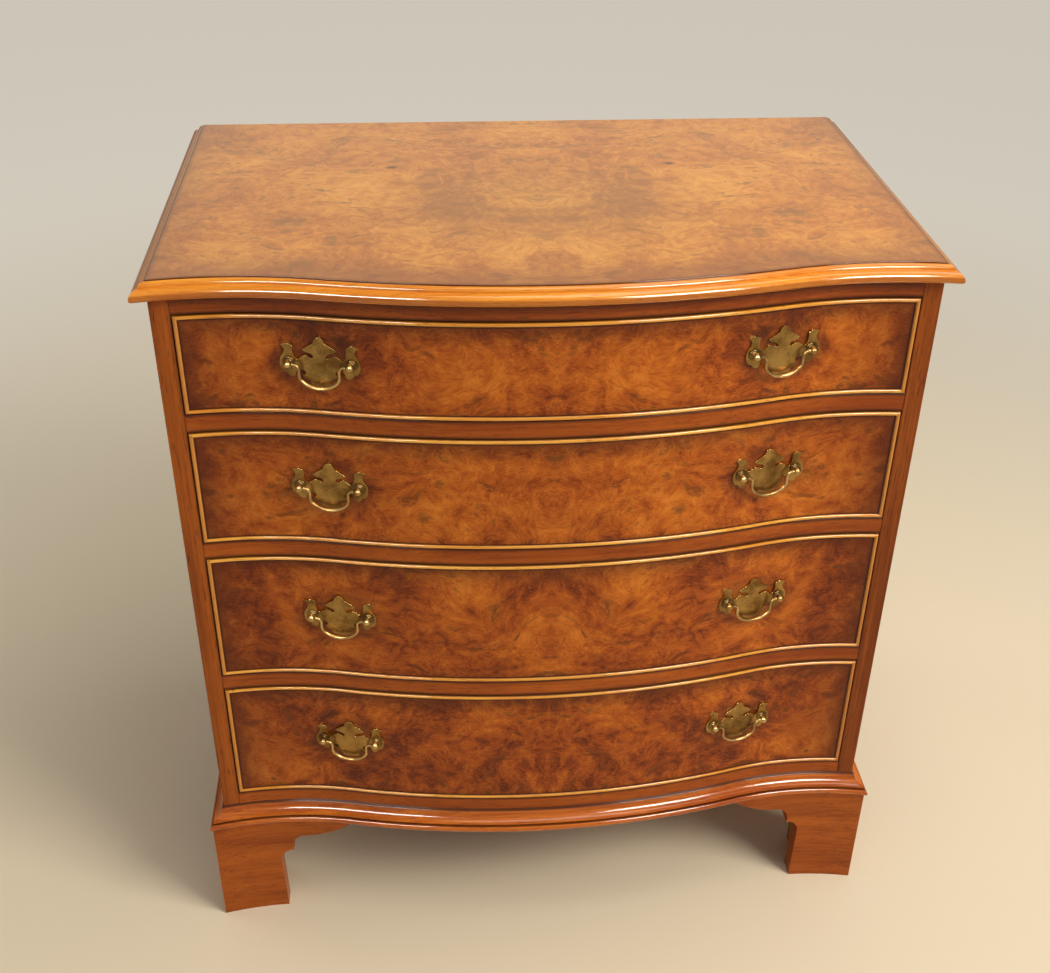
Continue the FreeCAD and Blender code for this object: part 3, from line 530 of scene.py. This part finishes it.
def along_foot(x, y, z):
    """Grain along the boards of a foot; the boards at the back run across the chest."""
    along, across, rise = along_mitred(x, y, z)
    at_back = y > BACK_Y - BACK_BOARD
    return along + (x - along) * at_back, across + (y - across) * at_back, rise


foot_walnut = grained_wood("foot walnut", along_foot, FOOT_STAINS, 0.35)
for node in ("front_left_foot", "front_right_foot", "rear_left_foot", "rear_right_foot"):
    stands_for(eased(node, ARRIS), node, foot_walnut)

# Top
# A flat ground veneered with burr walnut, two leaves opened like a book about the middle, toned
# darker towards its edges and French polished to a shine.
TOP_ARRIS = 0.0004
TOP_INSET = 0.0005
VENEER = 0.0009
VENEER_RELIEF = 0.00004
TOP_FIGURE = 1.35
RIM_TONE = 0.05
FRONT_TONE = 0.1
RIM_WAX = 0.006
KNOT_X = 0.158
KNOT_Y = 0.09
TOP_BURR = (stain(158, 88, 26), stain(188, 112, 37), stain(206, 133, 49), stain(218, 149, 60),
            stain(122, 76, 32))
LIPPING_STAINS = (stain(128, 58, 10), stain(176, 92, 22), stain(64, 26, 6))


def burr(across, along, leaf, stains):
    """Colour, tone and knots of burr walnut: short strokes that curl, soft clouds and smoky marks.
    The stains run from the darkest figure to the palest, with that of the marks last."""
    dark, mid, light, pale, smoke = stains
    place = joined(across, along, leaf)
    middle = (0.5, 0.5, 0.5)
    roll = place.noise(6.0, 3.0, 0.55, 1).vector("SUBTRACT", middle)
    rolled = place.vector("ADD", roll.vector("SCALE", 0.1))
    curl = rolled.noise(17.0, 2.0, 0.5, 1).vector("SUBTRACT", middle)
    curled = rolled.vector("ADD", curl.vector("SCALE", 0.045))
    split = curled.node("ShaderNodeSeparateXYZ", None, {0: curled})
    up = split.part(1)
    level = joined(split * 52.0, up * 150.0, leaf).noise(1.0, 3.0, 0.6)
    steep = joined(split * 150.0, up * 56.0, leaf).noise(1.0, 3.0, 0.6)
    stroke = level + (steep - level) * rolled.noise(11.0, 1.0).ease(0.42, 0.58)
    cloud = rolled.noise(8.0, 4.0, 0.6)
    mottle = curled.noise(58.0, 4.0, 0.62)
    fleck = joined(split * 260.0, up * 620.0, leaf).noise(1.0, 2.0, 0.6)
    tone = cloud * 1.7 + stroke * 0.45 + mottle * 1.35 + fleck * 0.8 - 1.63
    colour = tone.node("ShaderNodeValToRGB", {
        "stops": [(0.08, dark), (0.42, mid), (0.72, light), (1.0, pale)]}, {0: tone})
    mark = joined(split * 24.0, up * 60.0, leaf + 3.0).noise(1.0, 3.0, 0.55).ease(0.6, 0.72)
    smudge = joined(split * 17.0, up * 30.0, leaf + 7.0).noise(1.0, 5.0, 0.66) + mottle * 0.5 - 0.25
    mark = mark.most(smudge.ease(0.56, 0.69))
    cell = curled.node("ShaderNodeTexVoronoi", {"feature": "F1"}, {"Vector": curled, "Scale": 21.0})
    pick = cell.node("ShaderNodeSeparateColor", None, {0: cell.part(1)})
    knot = (1 - cell.ease(0.05, 0.17)) * pick.ease(0.8, 0.84)
    return (mark * (0.3 + mottle * 0.6) + knot * 0.6).least(0.85).between(colour, smoke), tone, knot


def veneer_over(shader, veneered, leaf, tone, knot, ground, coat):
    """Burr where veneered is 1, and the straight grain of the ground under it where it is 0."""
    colour, rough, _ = ground
    finish_with(shader, {
        "Base Color": veneered.between(colour, leaf),
        "Roughness": rough + (0.36 + 0.1 * tone - rough) * veneered,
        "Coat Weight": coat,
    }, POLISH, (tone * 0.3 - knot * 0.2) * veneered, VENEER_RELIEF)


def burr_top():
    """A bloom over the middle, a pair of knots behind it and a darker rim, widest at the front."""
    material, shader, (x, y, z) = new_finish("burr walnut top")
    leaf, tone, knot = burr((abs(x) + 0.31) * TOP_FIGURE, (y + 0.2) * TOP_FIGURE, 0.4, TOP_BURR)
    edge = (HALF - TOP_INSET - abs(x)).least(y - front_line(x, -TOP_INSET))
    leaf = toned_and_shaded(leaf, edge + (tone - 0.5) * 0.02, RIM_TONE, stain(120, 62, 28), 0.4)
    heart = ((x * x) * 15 + (y + 0.04) ** 2 * 34) ** 0.5
    leaf = ((1 - heart.ease(0.2, 1.0)) * (0.7 - 0.5 * tone)).between(leaf, stain(136, 88, 40))
    pair = ((abs(x) - KNOT_X) ** 2 + (y - KNOT_Y) ** 2 * 2) ** 0.5
    leaf = ((1 - pair.ease(0.002, 0.011)) * 0.85).between(leaf, stain(90, 42, 22))
    from_front = y - front_line(x) + (tone - 0.5) * 0.03
    leaf = toned_and_shaded(leaf, from_front, FRONT_TONE, stain(132, 74, 34), 0.45)
    leaf = toned_and_shaded(leaf, edge, RIM_WAX, stain(84, 38, 16), 0.5)
    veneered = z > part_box("top_panel")[1].z - VENEER
    lipping = straight_grain(x, z, y, LIPPING_STAINS)
    veneer_over(shader, veneered, leaf, tone, knot, lipping, 0.3 + 0.6 * veneered)
    return material


stands_for(eased("top_panel", TOP_ARRIS), "top_panel", burr_top())

# Moulded edge of the top
# Three lengths of honey-coloured walnut with two rounded members, mitred at the front corners and
# glued round the veneered board a hair below its face.
EDGE_HEIGHT = 0.0159
EDGE_REACH = 0.0135
EDGE_STEP = 0.0055
GROOVE = 0.0007
UPPER_FOOT = 0.0115
LOWER_HEAD = 0.0112
LOWER_FOOT = 0.0032
UNDER_BEVEL = 0.002
MEMBER_FULLNESS = 0.68
EDGE_STAINS = (stain(206, 114, 22), stain(240, 156, 48), stain(184, 92, 16))
EDGE_RELIEF = 0.00003


def edge_walnut():
    """Straight grain of a honey colour, with painted shade making the side lengths browner, dark wax in the
    groove beside the veneer and painted shade on the outer edge, where it turns under."""
    material, shader, (x, y, z) = new_finish("top edge walnut")
    colour, rough, height = straight_grain(*along_mitred(x, y, z), EDGE_STAINS)
    run = (abs(x) - HALF).most(front_line(x) - y)
    at_side = (abs(x) - HALF) > (CORNER_Y - y)
    # Painted shade on the side lengths, which turn away from the light.
    colour = (at_side * 0.6).between(colour, stain(108, 56, 18))
    colour = (1 - run.ease(GROOVE - 0.0001, GROOVE + 0.0004)).between(colour, stain(48, 20, 6))
    # Painted shade on the outer edge, where the moulding turns under.
    colour = (run.ease(EDGE_REACH - 0.0013, EDGE_REACH) * 0.6).between(colour, stain(140, 62, 12))
    finish_with(shader, {"Base Color": colour, "Roughness": rough},
                {**POLISH, "Coat Weight": 1.0, "Coat Roughness": MOULDING_SHEEN}, height, EDGE_RELIEF)
    return material


upper = curve_points((GROOVE, EDGE_HEIGHT), (EDGE_STEP, UPPER_FOOT), MEMBER_FULLNESS)
lower = curve_points((EDGE_STEP, LOWER_HEAD), (EDGE_REACH, LOWER_FOOT), MEMBER_FULLNESS)
edge_section = section_object("top edge section", [
    (-TOP_INSET, EDGE_HEIGHT), *upper, *lower, (EDGE_REACH, UNDER_BEVEL),
    (EDGE_REACH - UNDER_BEVEL, 0), (-TOP_INSET, 0), (-TOP_INSET, EDGE_HEIGHT)])
top_edge = grown("top_edge_moulding", mitred_moulding, {
    "Section": edge_section, "Stations": MOULDING_STATIONS, "Half width": HALF, "Back": BACK_Y,
    "Foot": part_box("top_moulding")[0].z, "Finish": edge_walnut()}, MOULDING_SHARP)
stands_for(top_edge, "top_moulding")

# Drawer fronts
# Curved boards faced with burr walnut, each opened like a book about the middle, toned darker and given
# painted shade along the beads; behind the veneer the board is plain, lap-dovetailed to the drawer sides.
DRAWERS = (1, 2, 3, 4)
BEAD_WIDTH = 0.0042
BEAD_TONE_AND_SHADOW = 0.03
FOOT_TONE = 0.01
END_TONE = 0.11
BEAD_CREASE_SHADE = 0.0032
HANDLE_X = 0.229
HALO_WIDTH = 0.05
HALO_HEIGHT = 0.034
HALO_DROP = 0.004
FRONT_BURR = (stain(98, 35, 6), stain(156, 71, 14), stain(190, 100, 24), stain(210, 122, 38),
              stain(70, 34, 9))
GROUND_STAINS = (stain(150, 104, 62), stain(184, 138, 88), stain(112, 72, 40))


def burr_front(number):
    """Each drawer's own stretch of burr, darker along the beads, at the ends and round the handles: toning,
    painted shade and shadow beside the beads, and a painted shadow with old polish round the handles.
    """
    low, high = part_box(f"drawer_{number}_front")
    material, shader, (x, y, z) = new_finish(f"burr walnut drawer {number}")
    leaf, tone, knot = burr(abs(x) + (6.9 + 0.53 * number), z + 0.17 * number, 2.7 + 0.1 * number,
                            FRONT_BURR)
    foot = z - low.z - BEAD_WIDTH
    edge = (high.x - BEAD_WIDTH - abs(x)).least(high.z - BEAD_WIDTH - z)
    # Toning with the painted shadow of the beads and rails, along the top and the ends.
    leaf = toned_and_shaded(leaf, edge + (tone - 0.5) * 0.008, BEAD_TONE_AND_SHADOW, stain(74, 28, 6), 0.7)
    leaf = toned_and_shaded(leaf, foot + (tone - 0.5) * 0.008, FOOT_TONE, stain(74, 28, 6), 0.3)
    # Painted shade in the crease beside the beads.
    leaf = toned_and_shaded(leaf, edge.least(foot * 1.6), BEAD_CREASE_SHADE, stain(34, 13, 4), 0.9)
    leaf = toned_and_shaded(leaf, high.x - abs(x), END_TONE, stain(88, 29, 6), 0.43)
    # A painted shadow of each handle, with old polish, round the plates.
    plate_low, plate_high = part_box(f"drawer_{number}_handle_plates")
    aside = (abs(x) - HANDLE_X) / HALO_WIDTH
    rise = (z - ((plate_low.z + plate_high.z) / 2 - HALO_DROP)) / HALO_HEIGHT
    leaf = toned_and_shaded(leaf, (aside * aside + rise * rise) ** 0.5 - 0.7, 0.5, stain(62, 26, 8), 0.45)
    veneered = (y - front_line(x)) < VENEER
    ground = straight_grain(x, z, y, GROUND_STAINS)
    veneer_over(shader, veneered, leaf, tone, knot, ground, 0.35 * veneered)
    return material


for number in DRAWERS:
    nodes[f"drawer_{number}_front"].material_slots[0].material = burr_front(number)

# Drawer linings
# Thin sides, back and bottom of pale hardwood, left clean: dovetails at the front, the back housed
# in the sides and the bottom slid into grooves.
LINING_STAINS = (stain(176, 134, 88), stain(206, 166, 116), stain(140, 100, 62))
lining_deep = grained_wood("lining deep", lambda x, y, z: (y, z, x), LINING_STAINS)
lining_across = grained_wood("lining across", lambda x, y, z: (x, z, y), LINING_STAINS)
for number in DRAWERS:
    for part in ("left_side", "right_side"):
        nodes[f"drawer_{number}_{part}"].material_slots[0].material = lining_deep
    for part in ("back", "bottom"):
        nodes[f"drawer_{number}_{part}"].material_slots[0].material = lining_across

# Cock beads
# Rounded strips of honey-coloured wood glued into a rebate round each drawer front, mitred at the
# corners and standing a little proud of the veneer.
BEAD_STATIONS = 129
BEAD_DEPTH = 0.008
BEAD_SHOULDER = 0.00075
BEAD_FULLNESS = 0.54
BEAD_RELIEF = 0.00005
END_BEAD_X = 0.362
BEAD_STAINS = (stain(222, 140, 38), stain(248, 180, 72), stain(164, 90, 22))


def bead_tree():
    """A section taken round the four edges of a drawer front, mitred at the corners."""
    tree, feed = new_tree("bead frame", {
        "Section": "Object", "Stations": "Int", "Half width": "Float", "Foot": "Float",
        "Head": "Float", "Finish": "Material"})
    count = feed["Stations"]
    sheet, station, inset, proud = section_sheet(feed["Section"], count * 2 + 1)
    on_head = (station > count - 0.5) * (station < count * 2 - 0.5)
    closing = station > count * 2 - 0.5
    lower = station / (count - 1) * 2 - 1
    upper = 1 - (station - count) / (count - 1) * 2
    share = lower + (upper - lower) * on_head
    share = share + (-1 - share) * closing
    x = share * (feed["Half width"] - inset)
    foot = feed["Foot"] + inset
    z = foot + (feed["Head"] - inset - foot) * on_head
    end_tree(shaped(sheet, x, front_line(x, proud), z), feed["Finish"])
    return tree


def bead_finish():
    """Honey-coloured grain along each strip, nicked here and there, with painted shade beside the veneer.
    """
    material, shader, (x, y, z) = new_finish("honey bead")
    ends = abs(x).ease(END_BEAD_X - 0.0005, END_BEAD_X + 0.0005)
    along = x + (z - x) * ends
    across = z + (x - z) * ends
    colour, rough, height = straight_grain(along, across, y, BEAD_STAINS)
    nick = joined(x, y, z).noise(55.0, 3.0, 0.7).ease(0.68, 0.74)
    colour = (nick * 0.7).between(colour, stain(110, 58, 20))
    proud = front_line(x) - y
    # Painted shade at the foot of the bead's round, beside the veneer.
    crevice_shade = 1 - proud.ease(0.0004, 0.0018)
    colour = (crevice_shade * 0.9).between(colour, stain(84, 38, 8))
    colour = (ends * 0.6).between(colour, stain(160, 82, 20))
    finish_with(shader, {"Base Color": colour, "Roughness": rough}, {**POLISH, "Coat Weight": 1.0},
                height, BEAD_RELIEF)
    return material


bead_frame = bead_tree()
honey_bead = bead_finish()
nose = curve_points((0, BEAD_SHOULDER), (BEAD_WIDTH, BEAD_SHOULDER), BEAD_FULLNESS)
bead_section = section_object("bead section", [
    (0, -BEAD_DEPTH), *nose, (BEAD_WIDTH, -BEAD_DEPTH), (0, -BEAD_DEPTH)])
for number in DRAWERS:
    node = f"drawer_{number}_cock_beads"
    low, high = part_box(node)
    bead = grown(f"drawer_{number}_bead_frame", bead_frame, {
        "Section": bead_section, "Stations": BEAD_STATIONS, "Half width": high.x, "Foot": low.z,
        "Head": high.z, "Finish": honey_bead})
    stands_for(bead, node)

# Handle backplates
# Sawn sheet-brass plates with a scalloped outline and filed edges, browned with age in the flats
# and rubbed bright along the edges, with a painted highlight there; painted shade and old wax darken
# them round the posts.
PLATE_WIDTH = 0.08
PLATE_THICKNESS = 0.0016
PLATE_ARRIS = 0.0006
POST_SPACING = 0.0614
COLLAR_RADIUS = 0.0057
HINGE_DROP = 0.0018
BRASS_RELIEF = 0.00004
PLATE_BROWN = stain(108, 77, 38)
PLATE_BRIGHT = stain(206, 166, 94)


def aged_brass(name, dull, bright, wear, dirt_and_shade, filed_and_highlit=0.0):
    """Brass browned in patches and bright where wear has rubbed it. The fifth argument turns the point into
    a share of old wax and painted shade; the last brightens the edges that turn away from the front, as
    wear with a painted highlight."""
    material, shader, (x, y, z) = new_finish(name)
    place = joined(x, y, z)
    patch = place.noise(46.0, 3.0, 0.6)
    speck = place.noise(420.0, 3.0, 0.65)
    facing = place.node("ShaderNodeNewGeometry", out="Normal")
    ahead = facing.node("ShaderNodeSeparateXYZ", None, {0: facing}, 1)
    # Edges that turn away from the front: bright from wear, with a painted highlight.
    edge = ahead.ease(-0.95, -0.75) * filed_and_highlit
    rubbed = ((patch * 1.1 + speck * 0.35 - 0.2).ease(0.25, 0.8) * wear + edge).least(1)
    # Old wax and painted shade, kept off the bright edges.
    wax_and_shade = dirt_and_shade(x, y, z) * (1 - edge)
    finish_with(shader, {
        "Base Color": wax_and_shade.between(rubbed.between(dull, bright), stain(46, 28, 12)),
        "Roughness": (0.36 - 0.14 * rubbed + 0.06 * speck).most(wax_and_shade * 0.6),
    }, {"Metallic": 1.0}, patch * 0.5 + speck * 0.2, BRASS_RELIEF)
    return material


def shade_and_wax_beside_posts(hinge):
    """Old wax and painted shade left on a plate round the collars of its two posts."""
    def dirt_and_shade(x, y, z):
        aside = abs(abs(x) - HANDLE_X) - POST_SPACING / 2
        rise = z - hinge
        distance = (aside * aside + rise * rise) ** 0.5
        return 0.6 - 0.6 * distance.ease(COLLAR_RADIUS - 0.0003, COLLAR_RADIUS + 0.0017)
    return dirt_and_shade


hinge_height = {number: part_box(f"drawer_{number}_left_bail")[1].z - HINGE_DROP for number in DRAWERS}
for number in DRAWERS:
    node = f"drawer_{number}_handle_plates"
    plate_brass = aged_brass(f"browned plate brass {number}", PLATE_BROWN, PLATE_BRIGHT, 0.55,
                             shade_and_wax_beside_posts(hinge_height[number]), 0.8)
    stands_for(eased(node, PLATE_ARRIS, 3), node, plate_brass)

# Handle posts
# Turned brass posts with a ball head on a ringed collar; each stud passes through the plate and the
# drawer front and is held inside by a hexagon nut.
POST_STEPS = 33
POST_BALL = 0.0043
POST_STANDOFF = 0.006
STUD_RADIUS = 0.002
STUD_END = -0.0304
NUT_WIDTH = 0.008
NUT_HEIGHT = 0.003
NUT_PLACE = 0.0239
PLATE_LIFT = 0.0001
BAIL_BROWN = stain(140, 104, 56)
BAIL_BRIGHT = stain(226, 192, 128)
near, far = (front_line(HANDLE_X + side * PLATE_WIDTH / 2) for side in (-1, 1))
HANDLE_TURN = math.atan((far - near) / PLATE_WIDTH)
PLATE_Y = (near + far) / 2 - PLATE_LIFT


def round_points(centre, radius, start, end, steps):
    """Points along an arc between two angles in degrees."""
    across, up = centre
    angles = [math.radians(start + (end - start) * step / steps) for step in range(steps + 1)]
    return [(across + radius * math.cos(angle), up + radius * math.sin(angle)) for angle in angles]


def post_tree():
    """A turned section and a nut, set out at the four post places of a drawer."""
    tree, feed = new_tree("handle posts", {
        "Section": "Object", "Steps": "Int", "Nut radius": "Float", "Nut height": "Float",
        "Nut place": "Float", "Height": "Float", "Finish": "Material"})
    sheet, station, radius, out = section_sheet(feed["Section"], feed["Steps"])
    angle = station / (feed["Steps"] - 1) * (2 * math.pi)
    across = radius * angle.math("COSINE", angle)
    up = radius * angle.math("SINE", angle)
    turned = shaped(sheet, across, out * -1, up)
    nut = turned.node("GeometryNodeMeshCylinder", None, {
        "Vertices": 6, "Radius": feed["Nut radius"], "Depth": feed["Nut height"]})
    nut = nut.node("GeometryNodeTransform", None, {
        "Geometry": nut, "Rotation": (math.pi / 2, 0, 0),
        "Translation": joined(0.0, feed["Nut place"], 0.0)})
    fixing = nut.node("GeometryNodeJoinGeometry", None, {0: turned})
    tree.links.new(nut.socket, fixing.socket.node.inputs[0])
    index = nut.node("GeometryNodeInputIndex")
    sense = (index > 1.5) * 2 - 1
    way = (index % 2) * 2 - 1
    turn = sense * HANDLE_TURN
    along = way * (POST_SPACING / 2)
    face_x = HANDLE_X + PLATE_THICKNESS * math.sin(HANDLE_TURN)
    face_y = PLATE_Y - PLATE_THICKNESS * math.cos(HANDLE_TURN)
    x = sense * face_x + along * math.cos(HANDLE_TURN)
    y = along * sense * math.sin(HANDLE_TURN) + face_y
    places = nut.node("GeometryNodePoints", None, {"Count": 4, "Position": joined(x, y, feed["Height"])})
    facing = nut.node("FunctionNodeEulerToRotation", None, {0: joined(0.0, 0.0, turn)})
    end_tree(places.node("GeometryNodeInstanceOnPoints", None, {
        "Points": places, "Instance": fixing, "Rotation": facing}), feed["Finish"])
    return tree


collar = [(COLLAR_RADIUS, 0), (COLLAR_RADIUS, 0.0006), (0.0055, 0.001), (0.0051, 0.0012),
          (0.0047, 0.0011), (0.0043, 0.0007), (0.0038, 0.0006), (0.0032, 0.0009), (0.0027, 0.0015),
          (0.0025, 0.0021)]
ball = [(across, out) for out, across in round_points((POST_STANDOFF, 0), POST_BALL, 144.5, 0, 16)]
post_section = section_object("post section", [
    (0, STUD_END), (STUD_RADIUS, STUD_END), (STUD_RADIUS, 0), *collar, *ball[:-1],
    (0, POST_STANDOFF + POST_BALL)])
handle_posts = post_tree()


def shade_and_wax_on_collar(x, y, z):
    """Old wax and painted shade on the collars, below the balls."""
    out = (abs(x) - HANDLE_X) * math.sin(HANDLE_TURN) + (PLATE_Y - y) * math.cos(HANDLE_TURN)
    return 0.6 - 0.6 * out.ease(PLATE_THICKNESS + 0.001, PLATE_THICKNESS + 0.003)


bail_brass = aged_brass("rubbed bail brass", BAIL_BROWN, BAIL_BRIGHT, 0.9, shade_and_wax_on_collar)
for number in DRAWERS:
    posts = grown(f"drawer_{number}_turned_posts", handle_posts, {
        "Section": post_section, "Steps": POST_STEPS, "Nut radius": NUT_WIDTH / math.sqrt(3),
        "Nut height": NUT_HEIGHT, "Nut place": NUT_PLACE, "Height": hinge_height[number],
        "Finish": bail_brass})
    stands_for(posts, f"drawer_{number}_handle_posts")

# Bails
# Cast brass swan-neck bails, thin at the necks and fuller along the bow, rubbed bright by hands; each
# hangs between its two posts.
BAIL_SIDES = 16
BAIL_RADIUS = 0.00145
BAIL_SWELL = 0.00045
BAIL_COLLAR = 0.0006
BALL_GAP = 0.00004
BOW_HALF = 0.0199
BOW_DROP = 0.025
BOW_TOP = -0.0115
BOW_RADIUS = 0.02445
NECK = 0.0053
CORNER = 0.009


def bail_tree():
    """A round bar along a path, set at its handle's place: a collar at each end, then a thin neck that
    swells towards the middle."""
    tree, feed = new_tree("swan-neck bail", {
        "Path": "Object", "Radius": "Float", "Swell": "Float", "Collar": "Float", "Sides": "Int",
        "Place": "Vector", "Turn": "Float", "Finish": "Material"})
    path = feed["Path"].node("GeometryNodeObjectInfo", None, {"Object": feed["Path"]}, "Geometry")
    line = path.node("GeometryNodeMeshToCurve", None, {0: path})
    share = path.node("GeometryNodeSplineParameter")
    inward = 1 - abs(share * 2 - 1)
    swell = feed["Swell"] * inward.ease(0.1, 0.9)
    collar = feed["Collar"] * (1 - inward.ease(0.015, 0.05))
    girth = feed["Radius"] + swell + collar
    ring = line.node("GeometryNodeCurvePrimitiveCircle", None, {
        "Resolution": feed["Sides"], "Radius": 1.0})
    bar = line.node("GeometryNodeCurveToMesh", None, {
        "Curve": line, "Profile Curve": ring, "Scale": girth, "Fill Caps": True})
    end_tree(bar.node("GeometryNodeTransform", None, {
        "Geometry": bar, "Translation": feed["Place"],
        "Rotation": joined(0.0, 0.0, feed["Turn"])}), feed["Finish"])
    return tree


bow_centre = BOW_RADIUS - BOW_DROP
lean = math.degrees(math.atan2(BOW_TOP - bow_centre, BOW_HALF - CORNER))
half_path = [
    (POST_SPACING / 2 - POST_BALL - BALL_GAP, 0),
    *round_points((BOW_HALF + NECK, -NECK), NECK, 90, 180, 8),
    *round_points((BOW_HALF - CORNER, BOW_TOP), CORNER, 0, lean, 8),
    *round_points((0, bow_centre), BOW_RADIUS, lean, -90, 10)[1:]]
other_half = [(-along, height) for along, height in half_path[-2::-1]]
bail_path = section_object("bail path", half_path + other_half)
swan_neck = bail_tree()
for number in DRAWERS:
    for sense, hand in ((-1, "left"), (1, "right")):
        turn = sense * HANDLE_TURN
        out = PLATE_THICKNESS + POST_STANDOFF
        across = sense * HANDLE_X + out * math.sin(turn)
        ahead = PLATE_Y - out * math.cos(turn)
        bail = grown(f"drawer_{number}_{hand}_swan_neck", swan_neck, {
            "Path": bail_path, "Radius": BAIL_RADIUS, "Swell": BAIL_SWELL, "Collar": BAIL_COLLAR,
            "Sides": BAIL_SIDES, "Place": (across, ahead, hinge_height[number]), "Turn": turn,
            "Finish": bail_brass})
        stands_for(bail, f"drawer_{number}_{hand}_bail")

# Floor, light and camera
# A plain pale floor that fades into a pale distance. The key and overhead lamps light the wood, the
# windows only shine in its polish, and the back and side lamps only lift its shaded sides.
FLOOR_SIZE = 14
FLOOR_COLOUR = stain(226, 210, 182)
DISTANCE_COLOUR = stain(214, 207, 194)
FADE_START = 0.7
FADE_END = 2.6
WARM_LAMP = (1, 0.96, 0.88)
OVERHEAD_TINT = (1, 0.97, 0.9)
BACK_TINT = (1, 0.86, 0.62)
SKY_COLOUR = (0.92, 0.93, 0.95, 1)
SKY_STRENGTH = 0.2
CAMERA_PLACE = (-0.12607, -1.38539, 1.3922)
CAMERA_TURNS = (-5.607, 32.046, 1.075)
CAMERA_LENS = 46.414
CAMERA_SENSOR = 36
CAMERA_SHIFT = (-0.0165, -0.02634)


def floor_finish():
    """Matt near the chest; further off the camera and the polish see it as the pale distance."""
    material, shader, (x, y, z) = new_finish("pale floor")
    finish_with(shader, {}, {"Base Color": FLOOR_COLOUR, "Roughness": 0.9})
    ray = x.node("ShaderNodeLightPath")
    faded = ((x * x + y * y) ** 0.5).ease(FADE_START, FADE_END)
    seen = ray.most(ray.part("Is Glossy Ray")) * faded * 0.85
    near_by = Feed(material.node_tree, shader.outputs[0])
    far_off = x.node("ShaderNodeEmission", None, {"Color": DISTANCE_COLOUR, "Strength": 1.0})
    whole = x.node("ShaderNodeMixShader", None, {0: seen, 1: near_by, 2: far_off})
    material.node_tree.links.new(whole.socket, material.node_tree.nodes["Material Output"].inputs[0])
    return material


bpy.ops.mesh.primitive_plane_add(size=FLOOR_SIZE)
floor = bpy.context.object
floor.name = "floor"
floor.data.materials.append(floor_finish())


def lamp(name, place, aim, width, height, power, tint=WARM_LAMP):
    """A soft rectangular lamp that points at the aim."""
    light = bpy.data.lights.new(name, "AREA")
    light.shape = "RECTANGLE"
    light.size = width
    light.size_y = height
    light.energy = power
    light.color = tint
    holder = bpy.data.objects.new(name, light)
    bpy.context.scene.collection.objects.link(holder)
    holder.location = place
    holder.rotation_euler = (Vector(aim) - Vector(place)).to_track_quat("-Z", "Y").to_euler()
    return holder


key = lamp("key lamp", (2.05, -1.6, 2.4), (0, -0.1, 0.55), 1.4, 1.2, 88)
key.visible_glossy = False
for name, place, width, height, power in (
        ("right window", (1.25, -2.5, 2.4), 0.9, 1.0, 95),
        ("left window", (-1.3, -2.5, 2.4), 1.1, 0.55, 75)):
    window = lamp(name, place, (0, -0.1, 0.8), width, height, power)
    window.visible_diffuse = False
lamp("overhead lamp", (0.5, -0.3, 3.0), (0.1, 0, 0.8), 1.8, 1.2, 27, OVERHEAD_TINT)
sheen = lamp("back window", (0, 3.2, 2.6), (0, 0, 0.86), 11.0, 2.2, 53, BACK_TINT)
sheen.visible_diffuse = False
for name, place, width, height, power in (
        ("back lamp", (-0.6, 3.0, 2.6), 3.0, 2.0, 14),
        ("side lamp", (-2.6, 0.9, 1.9), 1.6, 1.4, 16)):
    fill = lamp(name, place, (0, 0, 0.5), width, height, power)
    fill.visible_glossy = False

# The camera sees the same pale distance past the floor, and the chest is lit by a dim sky.
world = bpy.data.worlds.new("studio")
bpy.context.scene.world = world
world.use_nodes = True
sky = world.node_tree.nodes["Background"]
sky.inputs["Color"].default_value = SKY_COLOUR
sky.inputs["Strength"].default_value = SKY_STRENGTH
dim = Feed(world.node_tree, sky.outputs[0])
ray = dim.node("ShaderNodeLightPath")
behind = dim.node("ShaderNodeBackground", None, {"Color": DISTANCE_COLOUR, "Strength": 1.0})
seen_sky = dim.node("ShaderNodeMixShader", None, {0: ray, 1: dim, 2: behind})
world.node_tree.links.new(seen_sky.socket, world.node_tree.nodes["World Output"].inputs[0])

# The camera stands at eye height, a little left of the middle, and looks down at the chest.
yaw, pitch, roll = (math.radians(angle) for angle in CAMERA_TURNS)
ahead = Matrix.Rotation(yaw, 3, "Z") @ Vector((0, 1, 0))
across = Matrix.Rotation(yaw, 3, "Z") @ Vector((1, 0, 0))
view = math.cos(pitch) * ahead - math.sin(pitch) * Vector((0, 0, 1))
rise = math.sin(pitch) * ahead + math.cos(pitch) * Vector((0, 0, 1))
right = math.cos(roll) * across + math.sin(roll) * rise
up = math.cos(roll) * rise - math.sin(roll) * across
camera = bpy.data.objects.new("camera", bpy.data.cameras.new("camera"))
bpy.context.scene.collection.objects.link(camera)
facing = Matrix((right, up, -view)).transposed().to_4x4()
camera.matrix_world = Matrix.Translation(CAMERA_PLACE) @ facing
camera.data.lens = CAMERA_LENS
camera.data.sensor_width = CAMERA_SENSOR
camera.data.shift_x, camera.data.shift_y = CAMERA_SHIFT
bpy.context.scene.camera = camera
bpy.context.scene.view_settings.view_transform = "Standard"
